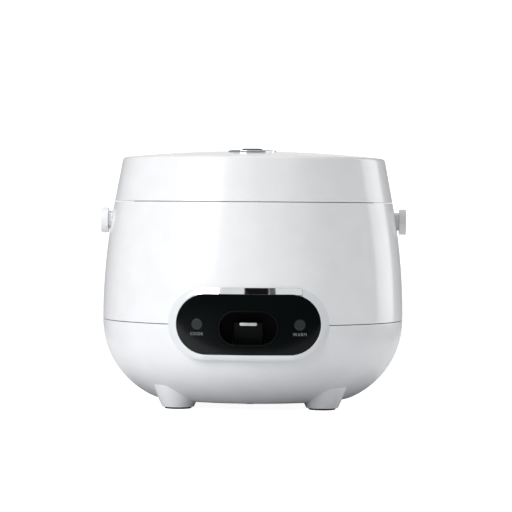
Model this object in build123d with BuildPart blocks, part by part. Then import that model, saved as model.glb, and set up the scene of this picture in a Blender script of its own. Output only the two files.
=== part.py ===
from build123d import *
from math import cos, pi, sin, sqrt
import os

os.makedirs("parts", exist_ok=True)

# Rice cooker with a hinged lid.  Millimetres, +Z up, the front faces -Y.
# The origin is on the table, on the vertical axis of the round body.

# Outer shape: a bowl below the waist, a gently bellied wall above it, a conical lid with a domed top.
WAIST_R = 125.0
WAIST_Z = 70.6
BOWL_ARC = 70.0
BELLY_ARC = 520.0
BASE_Z = 5.5
HEEL_ARC = 20.0
LID_SEAM_Z = 168.0
LID_SEAM_GAP = 0.8
LID_SHOULDER_R = 108.9
LID_SHOULDER_Z = 204.7
LID_TOP_Z = 210.2
LID_EDGE_ARC = 3.0
WALL = 2.5
WAIST_GAP = 0.6

# Front controls: nested pill outlines on one upright cylinder.
PANEL_Z = 71.4
PANEL_W = 114.4
PANEL_H = 47.8
SURROUND_W = 127.6
SURROUND_H = 57.2
SURROUND_R = 126.5
SURROUND_SLOPE = 2.2
PANEL_R = 126.0
PANEL_THICKNESS = 2.5
STRIP_R = 127.0
STRIP_FOOT_R = 124.8
STRIP_HALF = 42.3
RECESS_Z = 68.5
RECESS_W = 48.7
RECESS_H = 29.0
RECESS_BACK_Y = -101.0
LAMP_X = 40.6
LAMP_Z = 71.3
LAMP_R = 4.3
FIT = 0.15

# Inner pot, its well and the heater.
POT_R = 93.0
POT_WALL = 1.5
POT_FLOOR_Z = 61.3
POT_RIM_Z = 166.2
POT_RIM_R = 101.5
POT_CORNER = 22.0
WELL_R = 98.3
WELL_WALL = 0.8
WELL_FLOOR_Z = 46.0
WELL_CORNER = 25.0
WELL_TOP_Z = 160.0
PLATE_R = 79.0
PLATE_TOP_Z = 61.0
PLATE_BOTTOM_Z = 49.0
SENSOR_HOLE_R = 21.0
COLLAR_TOP_Z = 166.9

# Lever that lifts the magnet to the sensor.
LEVER_PIVOT_Y = -58.0
LEVER_PIVOT_Z = 28.0
LEVER_PIN_R = 2.0
PADDLE_W = 24.0
ARM_W = 8.0
MAGNET_R = 9.5

# Lid fittings.
BUTTON_Y = -50.0
BUTTON_R = 8.25
BUTTON_TOP_Z = 211.2
RING_R = 19.5
VENT_Y = 45.0
LATCH_PIVOT_Y = -90.0
LATCH_PIVOT_Z = 184.0
HOOK_Y = -107.6

# Rear hinge, drip cup and inlet.
HINGE_Y = 124.0
HINGE_Z = 171.0
HINGE_PIN_R = 2.5
HINGE_EYE_R = 6.0
KNUCKLE_HALF = 19.4
HINGE_HALF = 32.0
CUP_HALF = 24.0
CUP_LOW_Z = 112.0
CUP_HIGH_Z = 142.0
CUP_FRONT_Y = 107.0
CUP_REAR_Y = 131.0
INLET_Z = 42.0

# Carrying handle.
HANDLE_Z = 152.2
HANDLE_INNER_X = 121.5
HANDLE_THICKNESS = 5.4
HANDLE_DISC_R = 10.5
HANDLE_HEIGHT = 15.0
HANDLE_CORNER = 90.0
HANDLE_REAR_Y = 142.0
HANDLE_PIN_R = 3.0
HANDLE_BOSS_R = 7.0
RUNNING = 0.05

# Feet.
FOOT_OFFSET = 58.5
FOOT_BOTTOM_R = 12.25
FOOT_TOP_R = 21.3
FOOT_TOP_Z = 20.0
PAD_R = 11.0
PAD_HEIGHT = 3.0
PAD_PROUD = 1.5

# Derived places shared by several pieces.
BODY_TOP_Z = LID_SEAM_Z - LID_SEAM_GAP / 2
LID_BOTTOM_Z = LID_SEAM_Z + LID_SEAM_GAP / 2
BELLY_LOW_Z = WAIST_Z + WAIST_GAP / 2
BOWL_HIGH_Z = WAIST_Z - WAIST_GAP / 2


def belly_radius(z, inset=0.0):
    """Radius of the upper wall at a height, measured inset millimetres inside its outer face."""
    return WAIST_R - BELLY_ARC + sqrt((BELLY_ARC - inset) ** 2 - (z - WAIST_Z) ** 2)


def bowl_profile(inset, top_z):
    """Half section of everything inside the bowl wall, inset from its outer face."""
    arc = BOWL_ARC - inset
    centre_r = WAIST_R - BOWL_ARC
    floor_z = BASE_Z + inset
    edge_r = centre_r + sqrt(arc**2 - (WAIST_Z - floor_z) ** 2)
    brow_r = centre_r + sqrt(arc**2 - (WAIST_Z - top_z) ** 2)
    belly_point = (centre_r + arc * cos(pi / 4), WAIST_Z - arc * sin(pi / 4))
    with BuildSketch(Plane.XZ) as section:
        with BuildLine():
            Polyline((brow_r, top_z), (0, top_z), (0, floor_z), (edge_r, floor_z))
            ThreePointArc((edge_r, floor_z), belly_point, (brow_r, top_z))
        make_face()
        fillet(section.vertices().sort_by_distance((edge_r, floor_z))[0], HEEL_ARC - inset)
    return section.sketch


def belly_profile(inset, low_z, high_z):
    """Half section of everything inside the upper wall, inset from its outer face."""
    low = (belly_radius(low_z, inset), low_z)
    high = (belly_radius(high_z, inset), high_z)
    mid_z = (low_z + high_z) / 2
    with BuildSketch(Plane.XZ) as section:
        with BuildLine():
            Polyline(high, (0, high_z), (0, low_z), low)
            ThreePointArc(low, (belly_radius(mid_z, inset), mid_z), high)
        make_face()
    return section.sketch


def lid_radius(z, inset=0.0):
    """Radius of the conical lid wall at a height."""
    seam_r = belly_radius(LID_SEAM_Z)
    slope = (seam_r - LID_SHOULDER_R) / (LID_SHOULDER_Z - LID_SEAM_Z)
    return seam_r - slope * (z - LID_SEAM_Z) - inset * sqrt(1 + slope**2)


def lid_profile(inset):
    """Half section of everything inside the lid cover, inset from its outer face."""
    shoulder_z = LID_SHOULDER_Z - inset
    shoulder_r = lid_radius(shoulder_z, inset)
    rise = LID_TOP_Z - LID_SHOULDER_Z
    dome = (shoulder_r**2 + rise**2) / (2 * rise)
    half_z = LID_TOP_Z - inset - dome + sqrt(dome**2 - (shoulder_r / 2) ** 2)
    with BuildSketch(Plane.XZ) as section:
        with BuildLine():
            Polyline(
                (shoulder_r, shoulder_z),
                (lid_radius(LID_BOTTOM_Z, inset), LID_BOTTOM_Z),
                (0, LID_BOTTOM_Z),
                (0, LID_TOP_Z - inset),
            )
            ThreePointArc((0, LID_TOP_Z - inset), (shoulder_r / 2, half_z), (shoulder_r, shoulder_z))
        make_face()
        corner = section.vertices().sort_by_distance((shoulder_r, shoulder_z))[0]
        fillet(corner, LID_EDGE_ARC - inset / 2)
    return section.sketch


def cup_profile(radius, floor_z, top_z, corner):
    """Half section of a round cup's volume with a rounded lower corner."""
    with BuildSketch(Plane.XZ) as section:
        with BuildLine():
            Polyline((0, floor_z), (radius, floor_z), (radius, top_z), (0, top_z), close=True)
        make_face()
        fillet(section.vertices().sort_by_distance((radius, floor_z))[0], corner)
    return section.sketch


def ring_profile(inner, outer, low_z, high_z):
    """Half section of a plain ring."""
    with BuildSketch(Plane.XZ) as section:
        with BuildLine():
            Polyline((inner, low_z), (outer, low_z), (outer, high_z), (inner, high_z), close=True)
        make_face()
    return section.sketch


def pill(width, height, centre_z, start_y):
    """Upright pill outline facing forward, on the plane y = start_y."""
    with BuildSketch(Plane.XZ.offset(-start_y)) as outline:
        with Locations((0, centre_z)):
            SlotOverall(width, height)
    return outline.sketch


def front_block(half_x, low_z, high_z, start_y):
    """Upright rectangle facing along -Y, on the plane y = start_y."""
    with BuildSketch(Plane.XZ.offset(-start_y)) as outline:
        with Locations((0, (low_z + high_z) / 2)):
            Rectangle(2 * half_x, high_z - low_z)
    return outline.sketch


def coil(x, y, radius, wire, low_z, high_z, turns):
    """Compression spring standing on Z."""
    height = high_z - low_z - 2 * wire
    with BuildPart() as spring:
        with BuildLine() as path:
            Helix(pitch=height / turns, height=height, radius=radius, center=(x, y, low_z + wire))
        with BuildSketch(Plane(path.line @ 0, z_dir=path.line % 0)):
            Circle(wire)
        sweep()
    return spring


# Filled outer shape of the body, used to trim what sits on it.
with BuildPart() as envelope:
    revolve(bowl_profile(0, WAIST_Z), axis=Axis.Z)
    revolve(belly_profile(0, WAIST_Z, BODY_TOP_Z), axis=Axis.Z)

FRONT_START_Y = -80.0
DRUM_TOP_Z = 150.0
STRIP_PROUD = 0.8
SEAT_PLAY = 0.2
FRONT_LENGTH = 60.0
WINDOW_MARGIN = 3.6
WINDOW_W = PANEL_W + WINDOW_MARGIN
WINDOW_H = PANEL_H + WINDOW_MARGIN
POCKET_MARGIN = 2.2
REAR_START_Y = 140.0
REAR_LENGTH = 40.0

# Upper body shell: bellied wall with openings for the controls, the handle bosses and the drip cup.
with BuildPart() as body_shell:
    revolve(belly_profile(0, BELLY_LOW_Z, BODY_TOP_Z), axis=Axis.Z)
    revolve(belly_profile(WALL, BELLY_LOW_Z, BODY_TOP_Z), axis=Axis.Z, mode=Mode.SUBTRACT)
    extrude(pill(WINDOW_W, WINDOW_H, PANEL_Z, FRONT_START_Y), amount=FRONT_LENGTH, mode=Mode.SUBTRACT)
    with BuildSketch(Plane.YZ.offset(-2 * WAIST_R)):
        with Locations((0, HANDLE_Z)):
            Circle(HANDLE_BOSS_R)
    extrude(amount=4 * WAIST_R, mode=Mode.SUBTRACT)
    cup_window = front_block(
        CUP_HALF + POCKET_MARGIN, CUP_LOW_Z - POCKET_MARGIN, CUP_HIGH_Z + POCKET_MARGIN, REAR_START_Y
    )
    extrude(cup_window, amount=REAR_LENGTH, mode=Mode.SUBTRACT)
body_shell.part.label = "body_shell"
export_step(body_shell.part, "parts/body_shell.step")

# Base shell: the bowl, with a tongue that locates the upper shell and a recessed round opening below.
OPENING_R = 60.0
COVER_R = 66.0
COVER_THICKNESS = 1.2
SCREW_R = 1.5
SCREW_CIRCLE = 63.0
TONGUE_R = WAIST_R - WALL - 0.05
TONGUE_WALL = 1.5
TONGUE_REACH = 5.0
INLET_HALF_X = 16.0
INLET_HALF_Z = 12.5
POST_CIRCLE = 70.0
with BuildPart() as base_shell:
    revolve(bowl_profile(0, BOWL_HIGH_Z), axis=Axis.Z)
    revolve(bowl_profile(WALL, BOWL_HIGH_Z), axis=Axis.Z, mode=Mode.SUBTRACT)
    tongue = ring_profile(TONGUE_R - TONGUE_WALL, TONGUE_R, WAIST_Z - TONGUE_REACH, WAIST_Z + TONGUE_REACH)
    revolve(tongue, axis=Axis.Z)
    extrude(pill(WINDOW_W, WINDOW_H, PANEL_Z, FRONT_START_Y), amount=FRONT_LENGTH, mode=Mode.SUBTRACT)
    revolve(ring_profile(0, OPENING_R, BASE_Z, BASE_Z + WALL), axis=Axis.Z, mode=Mode.SUBTRACT)
    recess = ring_profile(0, COVER_R + FIT, BASE_Z, BASE_Z + COVER_THICKNESS)
    revolve(recess, axis=Axis.Z, mode=Mode.SUBTRACT)
    inlet_window = front_block(INLET_HALF_X, INLET_Z - INLET_HALF_Z, INLET_Z + INLET_HALF_Z, REAR_START_Y)
    extrude(inlet_window, amount=REAR_LENGTH, mode=Mode.SUBTRACT)
    with BuildSketch(Plane.XY):
        with PolarLocations(SCREW_CIRCLE, 4):
            Circle(SCREW_R)
    extrude(amount=BASE_Z + WALL, mode=Mode.SUBTRACT)
base_shell.part.label = "base_shell"
export_step(base_shell.part, "parts/base_shell.step")

# Vented steel cover under the base.
VENT_SLOT_LENGTH = 13.0
VENT_SLOT_WIDTH = 3.0
VENT_SLOT_CIRCLES = ((24, 8), (42, 14))
with BuildPart() as base_plate:
    with BuildSketch(Plane.XY.offset(BASE_Z)):
        Circle(COVER_R)
        for slot_circle, slot_count in VENT_SLOT_CIRCLES:
            with PolarLocations(slot_circle, slot_count):
                SlotOverall(VENT_SLOT_LENGTH, VENT_SLOT_WIDTH, mode=Mode.SUBTRACT)
        with PolarLocations(SCREW_CIRCLE, 4):
            Circle(SCREW_R, mode=Mode.SUBTRACT)
    extrude(amount=COVER_THICKNESS)
base_plate.part.label = "base_plate"
export_step(base_plate.part, "parts/base_plate.step")

# Four screws that hold the cover.
SCREW_HEAD = 1.2
SCREW_GRIP = 4.0
with BuildPart() as base_screws:
    with BuildSketch(Plane.XY.offset(BASE_Z)):
        with PolarLocations(SCREW_CIRCLE, 4):
            Circle(SCREW_R)
    extrude(amount=WALL + SCREW_GRIP)
    with BuildSketch(Plane.XY.offset(BASE_Z - SCREW_HEAD)):
        with PolarLocations(SCREW_CIRCLE, 4):
            Circle(2 * SCREW_R)
    extrude(amount=SCREW_HEAD)
base_screws.part.label = "base_screws"
export_step(base_screws.part, "parts/base_screws.step")

# Conical feet, moulded to the underside of the bowl, each with a recess for its pad.
FOOT_PLACES = {
    "foot_front_left": (-FOOT_OFFSET, -FOOT_OFFSET),
    "foot_front_right": (FOOT_OFFSET, -FOOT_OFFSET),
    "foot_rear_left": (-FOOT_OFFSET, FOOT_OFFSET),
    "foot_rear_right": (FOOT_OFFSET, FOOT_OFFSET),
}
STANDING = (Align.CENTER, Align.CENTER, Align.MIN)
for foot_name, (foot_x, foot_y) in FOOT_PLACES.items():
    with BuildPart() as foot:
        with Locations((foot_x, foot_y, 0)):
            Cone(FOOT_BOTTOM_R, FOOT_TOP_R, FOOT_TOP_Z, align=STANDING)
            Cylinder(FOOT_TOP_R, PAD_PROUD, align=STANDING, mode=Mode.SUBTRACT)
            Cylinder(PAD_R, PAD_HEIGHT, align=STANDING, mode=Mode.SUBTRACT)
        Cylinder(COVER_R + 0.5, BASE_Z, align=STANDING, mode=Mode.SUBTRACT)
        add(envelope.part, mode=Mode.SUBTRACT)
    foot.part.label = foot_name
    export_step(foot.part, f"parts/{foot_name}.step")

# Rubber pads under the feet.
with BuildPart() as foot_pads:
    with BuildSketch(Plane.XY):
        with GridLocations(2 * FOOT_OFFSET, 2 * FOOT_OFFSET, 2, 2):
            Circle(PAD_R)
    extrude(amount=PAD_HEIGHT)
    chamfer(foot_pads.edges().group_by(Axis.Z)[0], 0.5)
foot_pads.part.label = "foot_pads"
export_step(foot_pads.part, "parts/foot_pads.step")

# Bright strip over the top of the surround, cut off square at both ends.
with BuildPart() as chrome_strip:
    strip_outside = pill(SURROUND_W + STRIP_PROUD, SURROUND_H + STRIP_PROUD, PANEL_Z, FRONT_START_Y)
    extrude(strip_outside, amount=FRONT_LENGTH)
    strip_inside = pill(PANEL_W + SEAT_PLAY, PANEL_H + SEAT_PLAY, PANEL_Z, FRONT_START_Y)
    extrude(strip_inside, amount=FRONT_LENGTH, mode=Mode.SUBTRACT)
    revolve(ring_profile(STRIP_FOOT_R, STRIP_R, 0, DRUM_TOP_Z), axis=Axis.Z, mode=Mode.INTERSECT)
    band = front_block(STRIP_HALF, PANEL_Z, PANEL_Z + SURROUND_H, FRONT_START_Y)
    extrude(band, amount=FRONT_LENGTH, mode=Mode.INTERSECT)
chrome_strip.part.label = "chrome_strip"
export_step(chrome_strip.part, "parts/chrome_strip.step")

# Pale surround: a sloped pill frame on the body, a wall through the window and a ledge behind the panel.
LEDGE_W = 106.0
LEDGE_H = 40.0
LEDGE_LOW_R = 120.5
LEDGE_HIGH_R = PANEL_R - PANEL_THICKNESS - SEAT_PLAY
SLEEVE_PLAY = 0.4
BEHIND = 8.0
with BuildPart() as surround:
    extrude(pill(SURROUND_W, SURROUND_H, PANEL_Z, FRONT_START_Y), amount=FRONT_LENGTH)
    revolve(ring_profile(LEDGE_LOW_R - BEHIND, SURROUND_R, 0, DRUM_TOP_Z), axis=Axis.Z, mode=Mode.INTERSECT)
    rim = surround.faces().filter_by(GeomType.CYLINDER).sort_by(Axis.Y)[0]
    chamfer(rim.outer_wire().edges(), SURROUND_SLOPE)
    add(envelope.part, mode=Mode.SUBTRACT)
    with BuildPart(mode=Mode.PRIVATE) as sleeve:
        through_window = pill(WINDOW_W - SLEEVE_PLAY, WINDOW_H - SLEEVE_PLAY, PANEL_Z, FRONT_START_Y)
        extrude(through_window, amount=FRONT_LENGTH)
        revolve(ring_profile(LEDGE_LOW_R, SURROUND_R - 1, 0, DRUM_TOP_Z), axis=Axis.Z, mode=Mode.INTERSECT)
    add(sleeve.part)
    panel_seat = pill(PANEL_W + SEAT_PLAY, PANEL_H + SEAT_PLAY, PANEL_Z, FRONT_START_Y)
    ledge_hole = pill(LEDGE_W, LEDGE_H, PANEL_Z, FRONT_START_Y)
    extrude(ledge_hole, amount=FRONT_LENGTH, mode=Mode.SUBTRACT)
    with BuildPart(mode=Mode.PRIVATE) as seat:
        extrude(panel_seat, amount=FRONT_LENGTH)
        revolve(ring_profile(LEDGE_HIGH_R, 2 * WAIST_R, 0, DRUM_TOP_Z), axis=Axis.Z, mode=Mode.INTERSECT)
    add(seat.part, mode=Mode.SUBTRACT)
    add(chrome_strip.part, mode=Mode.SUBTRACT)
surround.part.label = "surround"
export_step(surround.part, "parts/surround.step")

# Glossy black panel, curved with the body.
with BuildPart() as panel:
    extrude(pill(PANEL_W - SEAT_PLAY, PANEL_H - SEAT_PLAY, PANEL_Z, FRONT_START_Y), amount=FRONT_LENGTH)
    revolve(ring_profile(PANEL_R - PANEL_THICKNESS, PANEL_R, 0, DRUM_TOP_Z), axis=Axis.Z, mode=Mode.INTERSECT)
    extrude(pill(RECESS_W, RECESS_H, RECESS_Z, FRONT_START_Y), amount=FRONT_LENGTH, mode=Mode.SUBTRACT)
    with BuildSketch(Plane.XZ.offset(-FRONT_START_Y)):
        with Locations((-LAMP_X, LAMP_Z), (LAMP_X, LAMP_Z)):
            Circle(LAMP_R + FIT)
    extrude(amount=FRONT_LENGTH, mode=Mode.SUBTRACT)
panel.part.label = "panel"
export_step(panel.part, "parts/panel.step")

# Recessed well around the lever, open below and behind where the lever passes.
WELL_LIP = 1.5
SLOT_FRONT_Y = -121.0
SLOT_TOP_Z = 63.5
WELL_DEPTH = 40.0
WELL_BACK = 2.0
WELL_PROUD = 0.2
with BuildPart() as lever_well:
    extrude(pill(RECESS_W - 2 * FIT, RECESS_H - 2 * FIT, RECESS_Z, RECESS_BACK_Y), amount=WELL_DEPTH)
    inner_w = RECESS_W - 2 * FIT - 2 * WELL_LIP
    inner_h = RECESS_H - 2 * FIT - 2 * WELL_LIP
    well_room = pill(inner_w, inner_h, RECESS_Z, RECESS_BACK_Y - WELL_BACK)
    extrude(well_room, amount=WELL_DEPTH, mode=Mode.SUBTRACT)
    revolve(ring_profile(0, PANEL_R + WELL_PROUD, 0, DRUM_TOP_Z), axis=Axis.Z, mode=Mode.INTERSECT)
    lever_slot = front_block(PADDLE_W / 2 + 1, RECESS_Z - RECESS_H, SLOT_TOP_Z, RECESS_BACK_Y)
    extrude(lever_slot, amount=RECESS_BACK_Y - SLOT_FRONT_Y, mode=Mode.SUBTRACT)
lever_well.part.label = "lever_well"
export_step(lever_well.part, "parts/lever_well.step")

# Lamp lenses and the holders behind them.
LAMP_BACK_Y = -112.0
LAMP_LENGTH = 20.0
LAMP_PROUD = 0.3
HOLDER_W = 13.0
HOLDER_H = 16.0
HOLDER_DEPTH = 6.0
HOLDER_CORNER = 2.0
for lamp_name, lamp_side in (("lamp_cook", -1), ("lamp_warm", 1)):
    with BuildPart() as lamp:
        with BuildSketch(Plane.XZ.offset(-LAMP_BACK_Y)):
            with Locations((lamp_side * LAMP_X, LAMP_Z)):
                Circle(LAMP_R)
        extrude(amount=LAMP_LENGTH)
        revolve(ring_profile(0, PANEL_R + LAMP_PROUD, 0, DRUM_TOP_Z), axis=Axis.Z, mode=Mode.INTERSECT)
    lamp.part.label = lamp_name
    export_step(lamp.part, f"parts/{lamp_name}.step")

with BuildPart() as lamp_holders:
    with BuildSketch(Plane.XZ.offset(-LAMP_BACK_Y - HOLDER_DEPTH)):
        with Locations((-LAMP_X, LAMP_Z), (LAMP_X, LAMP_Z)):
            RectangleRounded(HOLDER_W, HOLDER_H, HOLDER_CORNER)
    extrude(amount=HOLDER_DEPTH)
lamp_holders.part.label = "lamp_holders"
export_step(lamp_holders.part, "parts/lamp_holders.step")

# Cook lever: a paddle in the well and a cranked arm that runs under the heater to the plunger.
BAR_LOW_Z = 69.9
BAR_HIGH_Z = 72.9
BAR_HALF = 7.35
BAR_Y = -117.4
BAR_DEPTH = 2.0
BAR_CORNER = 1.2
BAR_BREAK = 0.3
ARM_END_Y = 3.0
PADDLE_OUTLINE = ((-113, 53), (-114.5, 60), (-116.6, 73), (-112, 74), (-109, 66), (-108, 53))
ARM_OUTLINE = (
    (-112, 55),
    (-98, 25),
    (LEVER_PIVOT_Y, 23.5),
    (ARM_END_Y, 25.5),
    (ARM_END_Y, 29.4),
    (-12, 29.4),
    (LEVER_PIVOT_Y, 32.5),
    (-92, 31),
    (-109, 62),
)
with BuildPart() as lever_bar:
    with BuildSketch(Plane.XZ.offset(-BAR_Y - BAR_DEPTH)):
        with Locations((0, (BAR_LOW_Z + BAR_HIGH_Z) / 2)):
            RectangleRounded(2 * BAR_HALF, BAR_HIGH_Z - BAR_LOW_Z, BAR_CORNER)
    extrude(amount=BAR_DEPTH)
    chamfer(lever_bar.faces().sort_by(Axis.Y)[0].edges(), BAR_BREAK)
lever_bar.part.label = "lever_bar"
export_step(lever_bar.part, "parts/lever_bar.step")

with BuildPart() as cook_lever:
    with BuildSketch(Plane.YZ):
        with BuildLine():
            Polyline(*PADDLE_OUTLINE, close=True)
        make_face()
    extrude(amount=PADDLE_W / 2, both=True)
    with BuildSketch(Plane.YZ):
        with BuildLine():
            Polyline(*ARM_OUTLINE, close=True)
        make_face()
        with Locations((LEVER_PIVOT_Y, LEVER_PIVOT_Z)):
            Circle(LEVER_PIN_R + RUNNING, mode=Mode.SUBTRACT)
    extrude(amount=ARM_W / 2, both=True)
    add(lever_bar.part, mode=Mode.SUBTRACT)
cook_lever.part.label = "cook_lever"
export_step(cook_lever.part, "parts/cook_lever.step")

# Bracket and pin that carry the lever, hung from the floor of the pot well.
EAR_GAP = 0.5
EAR_THICKNESS = 2.0
EAR_TOP_HALF = 7.0
EAR_FOOT_HALF = 5.0
EAR_LENGTH = 40.0
PIN_OVERHANG = 1.0
with BuildPart() as lever_bracket:
    with BuildSketch(Plane.YZ):
        with BuildLine():
            Polyline(
                (LEVER_PIVOT_Y - EAR_TOP_HALF, WELL_FLOOR_Z),
                (LEVER_PIVOT_Y - EAR_FOOT_HALF, LEVER_PIVOT_Z - EAR_FOOT_HALF),
                (LEVER_PIVOT_Y + EAR_FOOT_HALF, LEVER_PIVOT_Z - EAR_FOOT_HALF),
                (LEVER_PIVOT_Y + EAR_TOP_HALF, WELL_FLOOR_Z),
                close=True,
            )
        make_face()
        with Locations((LEVER_PIVOT_Y, LEVER_PIVOT_Z)):
            Circle(LEVER_PIN_R, mode=Mode.SUBTRACT)
    extrude(amount=ARM_W / 2 + EAR_GAP + EAR_THICKNESS, both=True)
    with Locations((0, LEVER_PIVOT_Y, 0)):
        Box(
            ARM_W + 2 * EAR_GAP,
            EAR_LENGTH,
            2 * (WELL_FLOOR_Z - EAR_THICKNESS),
            mode=Mode.SUBTRACT,
        )
lever_bracket.part.label = "lever_bracket"
export_step(lever_bracket.part, "parts/lever_bracket.step")

with BuildPart() as lever_pin:
    with BuildSketch(Plane.YZ):
        with Locations((LEVER_PIVOT_Y, LEVER_PIVOT_Z)):
            Circle(LEVER_PIN_R)
    extrude(amount=ARM_W / 2 + EAR_GAP + EAR_THICKNESS + PIN_OVERHANG, both=True)
lever_pin.part.label = "lever_pin"
export_step(lever_pin.part, "parts/lever_pin.step")

LEVER_SPRING_Y = -38.0
LEVER_SPRING_LOW_Z = 31.9
SPRING_PLAY = 0.1
lever_spring = coil(0, LEVER_SPRING_Y, 4.0, 0.5, LEVER_SPRING_LOW_Z, WELL_FLOOR_Z - SPRING_PLAY, 6)
lever_spring.part.label = "lever_spring"
export_step(lever_spring.part, "parts/lever_spring.step")

# Small snap switch beside the lever, hung from the floor of the pot well on a tapered foot.
SWITCH_X = 16.0
SWITCH_Y = -70.0
SWITCH_Z = 31.0
SWITCH_W = 10.0
SWITCH_L = 20.0
SWITCH_H = 11.0
SWITCH_FOOT_Z = 37.5
SWITCH_STEM_X = 13.5
SWITCH_STEM_Z = 36.5
SWITCH_TAPER = 12.0
with BuildPart() as microswitch:
    with Locations((SWITCH_X, SWITCH_Y, SWITCH_Z)):
        Box(SWITCH_W, SWITCH_L, SWITCH_H)
    with Locations((SWITCH_STEM_X, SWITCH_Y, SWITCH_STEM_Z)):
        Box(4, 3, 2.4)
    with BuildSketch(Plane.XY.offset(SWITCH_FOOT_Z)):
        with Locations((SWITCH_X, SWITCH_Y)):
            Rectangle(SWITCH_W, SWITCH_L)
    extrude(amount=WELL_FLOOR_Z - SWITCH_FOOT_Z, taper=SWITCH_TAPER)
microswitch.part.label = "microswitch"
export_step(microswitch.part, "parts/microswitch.step")

# Collar: the inner rim of the body, with a ledge for the pot and a slot for the lid hook.
COLLAR_INNER_R = WELL_R + 0.3
COLLAR_LOW_Z = 150.0
COLLAR_LEDGE_Z = 164.6
COLLAR_LEDGE_R = 102.2
COLLAR_OUTER_R = 113.1
COLLAR_SKIRT_Z = 162.0
COLLAR_WALL = 2.0
HOOK_SLOT_Y = -108.9
HOOK_SLOT_W = 16.0
HOOK_SLOT_L = 6.2
with BuildPart() as collar:
    with BuildSketch(Plane.XZ):
        with BuildLine():
            Polyline(
                (COLLAR_INNER_R, COLLAR_LOW_Z),
                (COLLAR_INNER_R, COLLAR_LEDGE_Z),
                (COLLAR_LEDGE_R, COLLAR_LEDGE_Z),
                (COLLAR_LEDGE_R, COLLAR_TOP_Z),
                (COLLAR_OUTER_R, COLLAR_TOP_Z),
                (COLLAR_OUTER_R, COLLAR_SKIRT_Z),
                (COLLAR_INNER_R + COLLAR_WALL, COLLAR_SKIRT_Z),
                (COLLAR_INNER_R + COLLAR_WALL, COLLAR_LOW_Z),
                close=True,
            )
        make_face()
    revolve(axis=Axis.Z)
    with BuildSketch(Plane.XY.offset(COLLAR_LOW_Z)):
        with Locations((0, HOOK_SLOT_Y)):
            Rectangle(HOOK_SLOT_W, HOOK_SLOT_L)
    extrude(amount=COLLAR_TOP_Z - COLLAR_LOW_Z, mode=Mode.SUBTRACT)
collar.part.label = "collar"
export_step(collar.part, "parts/collar.step")

# Pot well: thin metal cup round the pot, with holes for the sensor and the heater's ends.
TERMINAL_X = 14.0
TERMINAL_Y = 54.0
TERMINAL_R = 2.5
SENSOR_ROOM_R = 30.0
ELEMENT_R = sqrt(TERMINAL_X**2 + TERMINAL_Y**2)
with BuildPart() as pot_well:
    revolve(cup_profile(WELL_R, WELL_FLOOR_Z, WELL_TOP_Z, WELL_CORNER), axis=Axis.Z)
    hollow = cup_profile(WELL_R - WELL_WALL, WELL_FLOOR_Z + WELL_WALL, WELL_TOP_Z, WELL_CORNER - WELL_WALL)
    revolve(hollow, axis=Axis.Z, mode=Mode.SUBTRACT)
    with BuildSketch(Plane.XY.offset(WELL_FLOOR_Z)):
        Circle(SENSOR_ROOM_R)
        with Locations((-TERMINAL_X, TERMINAL_Y), (TERMINAL_X, TERMINAL_Y)):
            Circle(2 * TERMINAL_R)
    extrude(amount=5 * WELL_WALL, mode=Mode.SUBTRACT)
pot_well.part.label = "pot_well"
export_step(pot_well.part, "parts/pot_well.step")

# Posts that carry the well on the base shell.
POST_R = 4.0
with BuildPart() as well_posts:
    with BuildSketch(Plane.XY.offset(BASE_Z + WALL)):
        with PolarLocations(POST_CIRCLE, 3, start_angle=90):
            Circle(POST_R)
    extrude(amount=WELL_FLOOR_Z - BASE_Z - WALL)
well_posts.part.label = "well_posts"
export_step(well_posts.part, "parts/well_posts.step")

# Tubular heater with two ends turned down through the well floor.
ELEMENT_TUBE = 3.3
ELEMENT_Z = 54.5
TERMINAL_LOW_Z = 32.0
with BuildPart() as heating_element:
    with Locations((0, 0, ELEMENT_Z)):
        Torus(ELEMENT_R, ELEMENT_TUBE)
    with BuildSketch(Plane.XY.offset(TERMINAL_LOW_Z)):
        with Locations((-TERMINAL_X, TERMINAL_Y), (TERMINAL_X, TERMINAL_Y)):
            Circle(TERMINAL_R)
    extrude(amount=ELEMENT_Z - TERMINAL_LOW_Z)
heating_element.part.label = "heating_element"
export_step(heating_element.part, "parts/heating_element.step")

# Cast heating plate, with the heater embedded and a hole for the sensor.
PLATE_EDGE = 2.0
with BuildPart() as heating_plate:
    revolve(ring_profile(SENSOR_HOLE_R, PLATE_R, PLATE_BOTTOM_Z, PLATE_TOP_Z), axis=Axis.Z)
    fillet(heating_plate.edges().group_by(Axis.Z)[-1], PLATE_EDGE)
    add(heating_element.part, mode=Mode.SUBTRACT)
heating_plate.part.label = "heating_plate"
export_step(heating_plate.part, "parts/heating_plate.step")

# Spacers between the plate and the well floor.
SPACER_CIRCLE = 66.0
SPACER_R = 5.0
with BuildPart() as plate_feet:
    with BuildSketch(Plane.XY.offset(WELL_FLOOR_Z + WELL_WALL)):
        with PolarLocations(SPACER_CIRCLE, 3, start_angle=30):
            Circle(SPACER_R)
    extrude(amount=PLATE_BOTTOM_Z - WELL_FLOOR_Z - WELL_WALL)
plate_feet.part.label = "plate_feet"
export_step(plate_feet.part, "parts/plate_feet.step")

# Inner pot with a rolled rim.
POT_LIP = 1.3
POT_LIP_EDGE = 0.6
with BuildPart() as pot:
    revolve(cup_profile(POT_R, POT_FLOOR_Z, POT_RIM_Z, POT_CORNER), axis=Axis.Z)
    revolve(ring_profile(POT_R - POT_WALL / 2, POT_RIM_R, POT_RIM_Z - POT_LIP, POT_RIM_Z), axis=Axis.Z)
    inside = cup_profile(POT_R - POT_WALL, POT_FLOOR_Z + POT_WALL, POT_RIM_Z, POT_CORNER - POT_WALL)
    revolve(inside, axis=Axis.Z, mode=Mode.SUBTRACT)
    fillet(pot.edges().sort_by(SortBy.LENGTH)[-2:], POT_LIP_EDGE)
pot.part.label = "pot"
export_step(pot.part, "parts/pot.step")

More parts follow.
